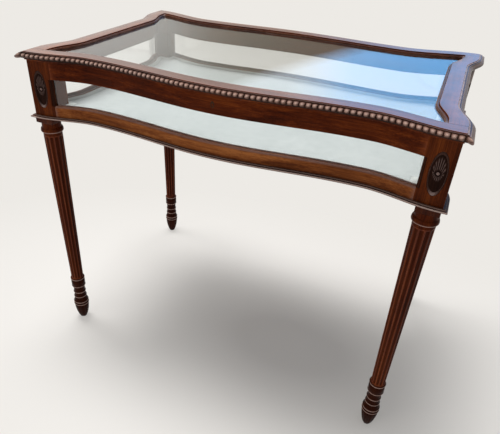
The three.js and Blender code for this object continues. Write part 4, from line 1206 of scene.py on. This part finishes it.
def dress_fitting(node):
    fitting = refinish(node, DARK_BRASS if node == "keyhole_escutcheon" else BRASS)
    fitting.modifiers.new("weld", "WELD").merge_threshold = 0.00001
    ease_edges(fitting, 0.0002, segments=2)


# Studio

# The photograph's camera: its place, its turns about and below the table and its roll, in degrees, and its
# lens in pixels of the photograph
CAMERA_PLACE = (0.4049, -1.1019, 1.0520)
CAMERA_TURNS = (22.07, 33.34, 3.04)
PHOTO_SIZE = (500, 434)
PHOTO_FOCAL = 504.0
PHOTO_MIDDLE = (240.1, 228.5)


def make_camera():
    """The photograph's view, from a place, three turns and a lens measured in its own pixels."""
    azimuth, elevation, roll = (math.radians(turn) for turn in CAMERA_TURNS)
    reach = math.cos(elevation)
    forward = Vector((-math.sin(azimuth) * reach, math.cos(azimuth) * reach, -math.sin(elevation)))
    level = forward.cross(Vector((0, 0, 1))).normalized()
    upward = level.cross(forward)
    right = math.cos(roll) * level + math.sin(roll) * upward
    up = -math.sin(roll) * level + math.cos(roll) * upward
    data = bpy.data.cameras.new("camera")
    camera = link("camera", data)
    turned = Matrix((right, up, -forward)).transposed().to_4x4()
    camera.matrix_world = Matrix.Translation(CAMERA_PLACE) @ turned
    width, height = PHOTO_SIZE
    data.sensor_width = 36.0
    data.lens = PHOTO_FOCAL / width * data.sensor_width
    data.shift_x = (width / 2 - PHOTO_MIDDLE[0]) / width
    data.shift_y = (PHOTO_MIDDLE[1] - height / 2) / width
    data.clip_end = 60.0
    bpy.context.scene.camera = camera


BACKDROP = (0.847, 0.823, 0.784)
FLOOR_TONE = (0.70, 0.688, 0.675)
FLOOR_REACH = 8.0
# How the floor fades into the backdrop: an oval about the shadow's middle, and its reach; this glow is
# painted over the floor's shading for the camera only and lightens the shadow, more the further out
FADE_SCALE = (1, 1.8, 1)
FADE_SHIFT = (-0.17, 0.18, 0)
FADE_REACH = (0.15, 1.35)
FADE_SHARE = (0.05, 1.0)
SOFT_TONE = (0.95, 0.97, 1.0)
SOFT_LIGHT = 0.335
# Tones that polish and glass mirror behind the table, by how far to the right they lie
ROOM_REACH = (-1.0, 0.4)
WALL_TONES = (
    (0.08, (0.90, 0.88, 0.84)), (0.28, (0.74, 0.74, 0.70)), (0.37, (0.36, 0.34, 0.28)),
    (0.50, (0.29, 0.27, 0.22)), (0.70, (0.20, 0.13, 0.10)), (0.98, BACKDROP),
)
SKY_TONES = (
    (0.10, (0.90, 0.96, 1.0)), (0.49, (0.92, 0.98, 1.0)), (0.58, (0.16, 0.51, 1.0)),
    (0.90, (0.18, 0.52, 1.0)), (0.98, BACKDROP),
)
RIGHT_FROM = (-0.32, -0.20)
RIGHT_GAIN = 1.6
# The slanting line between wall and sky, which climbs to the left
SKYLINE_SLOPE = 3.3
SKYLINE_HEIGHT = 0.255
SKYLINE = (-0.32, -0.25)


def room_tone(tree, path):
    """The backdrop, save that polish and glass mirror a plain wall behind the table and an open sky."""
    parts = add(tree, "SeparateXYZ", Vector=add(tree, "TexCoord").outputs["Generated"]).outputs
    sideways = calc("DIVIDE", parts["X"], calc("MAXIMUM", parts["Y"], 0.05))
    across = spread(sideways, *ROOM_REACH)
    brighter = spread(sideways, *RIGHT_FROM, 1.0, RIGHT_GAIN)
    sky = mixed(1.0, tone_ramp(across, SKY_TONES, "B_SPLINE"), brighter, "MULTIPLY")
    climb = times(calc("SUBTRACT", parts["Z"], SKYLINE_HEIGHT), SKYLINE_SLOPE)
    above = spread(calc("ADD", sideways, climb), *SKYLINE)
    wall = mixed(above, tone_ramp(across, WALL_TONES, "B_SPLINE"), sky)
    behind = times(spread(parts["Y"], 0.2, 0.6), spread(parts["Z"], 0.10, 0.18))
    return mixed(path["Is Glossy Ray"], BACKDROP, mixed(behind, BACKDROP, wall))


def make_world():
    world = bpy.data.worlds.new("studio")
    bpy.context.scene.world = world
    world.use_nodes = True
    tree = world.node_tree
    path, seen = seen_rays(tree)
    soft = feed(tree.nodes["Background"], Color=SOFT_TONE, Strength=SOFT_LIGHT)
    shown = add(tree, "Background", Color=room_tone(tree, path), Strength=1.0)
    mix_surfaces(seen, soft, shown, "World Output")


def make_floor():
    """A pale floor that keeps the table's shadow and fades into the backdrop away from it, a glow painted
    over its shading that lightens the shadow's outer part.
    """
    half = FLOOR_REACH
    floor = raw_piece("floor", [(-half, -half, 0), (half, -half, 0), (half, half, 0), (-half, half, 0)],
                      [(0, 1, 2, 3)])
    material, tree, shader, coords = new_material("pale_floor")
    feed(shader, Base_Color=FLOOR_TONE, Roughness=0.9, Specular_IOR_Level=0.1)
    from_shadow = stretched(coords, FADE_SCALE, FADE_SHIFT)
    length = add(tree, "VectorMath", {"operation": "LENGTH"}, Vector=from_shadow)
    away = spread(length.outputs["Value"], *FADE_REACH, *FADE_SHARE)
    _, seen = seen_rays(tree)
    mix_surfaces(times(seen, away), shader, add(tree, "Emission", Color=BACKDROP))
    floor.data.materials.append(material)


def make_lamp(name, place, target, size, power, colour):
    data = bpy.data.lights.new(name, "AREA")
    data.shape = "RECTANGLE"
    data.size, data.size_y = size
    data.energy = power
    data.color = colour
    lamp = link(name, data)
    lamp.location = place
    aim = Vector(target) - Vector(place)
    lamp.rotation_euler = aim.to_track_quat("-Z", "Y").to_euler()
    lamp.visible_camera = False
    lamp.visible_glossy = False
    lamp.visible_transmission = False


make_camera()
make_world()
make_floor()
make_lamp("overhead", (-0.88, 0.47, 4.2), (1.18, -2.93, 0.0), (2.3, 1.3), 242, (1.0, 0.985, 0.96))
make_lamp("front_fill", (-1.0, -3.0, 1.5), (0, 0, 0.6), (3.4, 1.4), 31, (1.0, 0.96, 0.9))

for corner_name, (x_sign, y_sign) in CORNERS.items():
    make_leg(corner_name, x_sign, y_sign)
    make_post(corner_name, x_sign, y_sign)
make_oval("left", -1)
make_oval("right", 1)
for one_side in SIDES.values():
    make_case_side(one_side)
    make_opening_strip("glass_fillet", "lid_fillet", one_side, FILLET, FILLET_WIDTH)
    make_opening_strip("glass_bead", "lid_under_bead", one_side, UNDER_BEAD, UNDER_BEAD_WIDTH)
    if one_side.is_long:
        make_long_lid_rail(one_side)
    else:
        make_short_lid_rail(one_side)
    if one_side.name != "front":
        make_moulded_edge(one_side)
make_beaded_edge(SIDES["front"])
make_lid_glass()
make_lining()
refinish("floor_board", BOARD_WOOD)
for node_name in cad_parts:
    if node_name.startswith(("hinge_", "lock_", "keyhole_")):
        dress_fitting(node_name)

bpy.context.scene.view_settings.view_transform = "Standard"
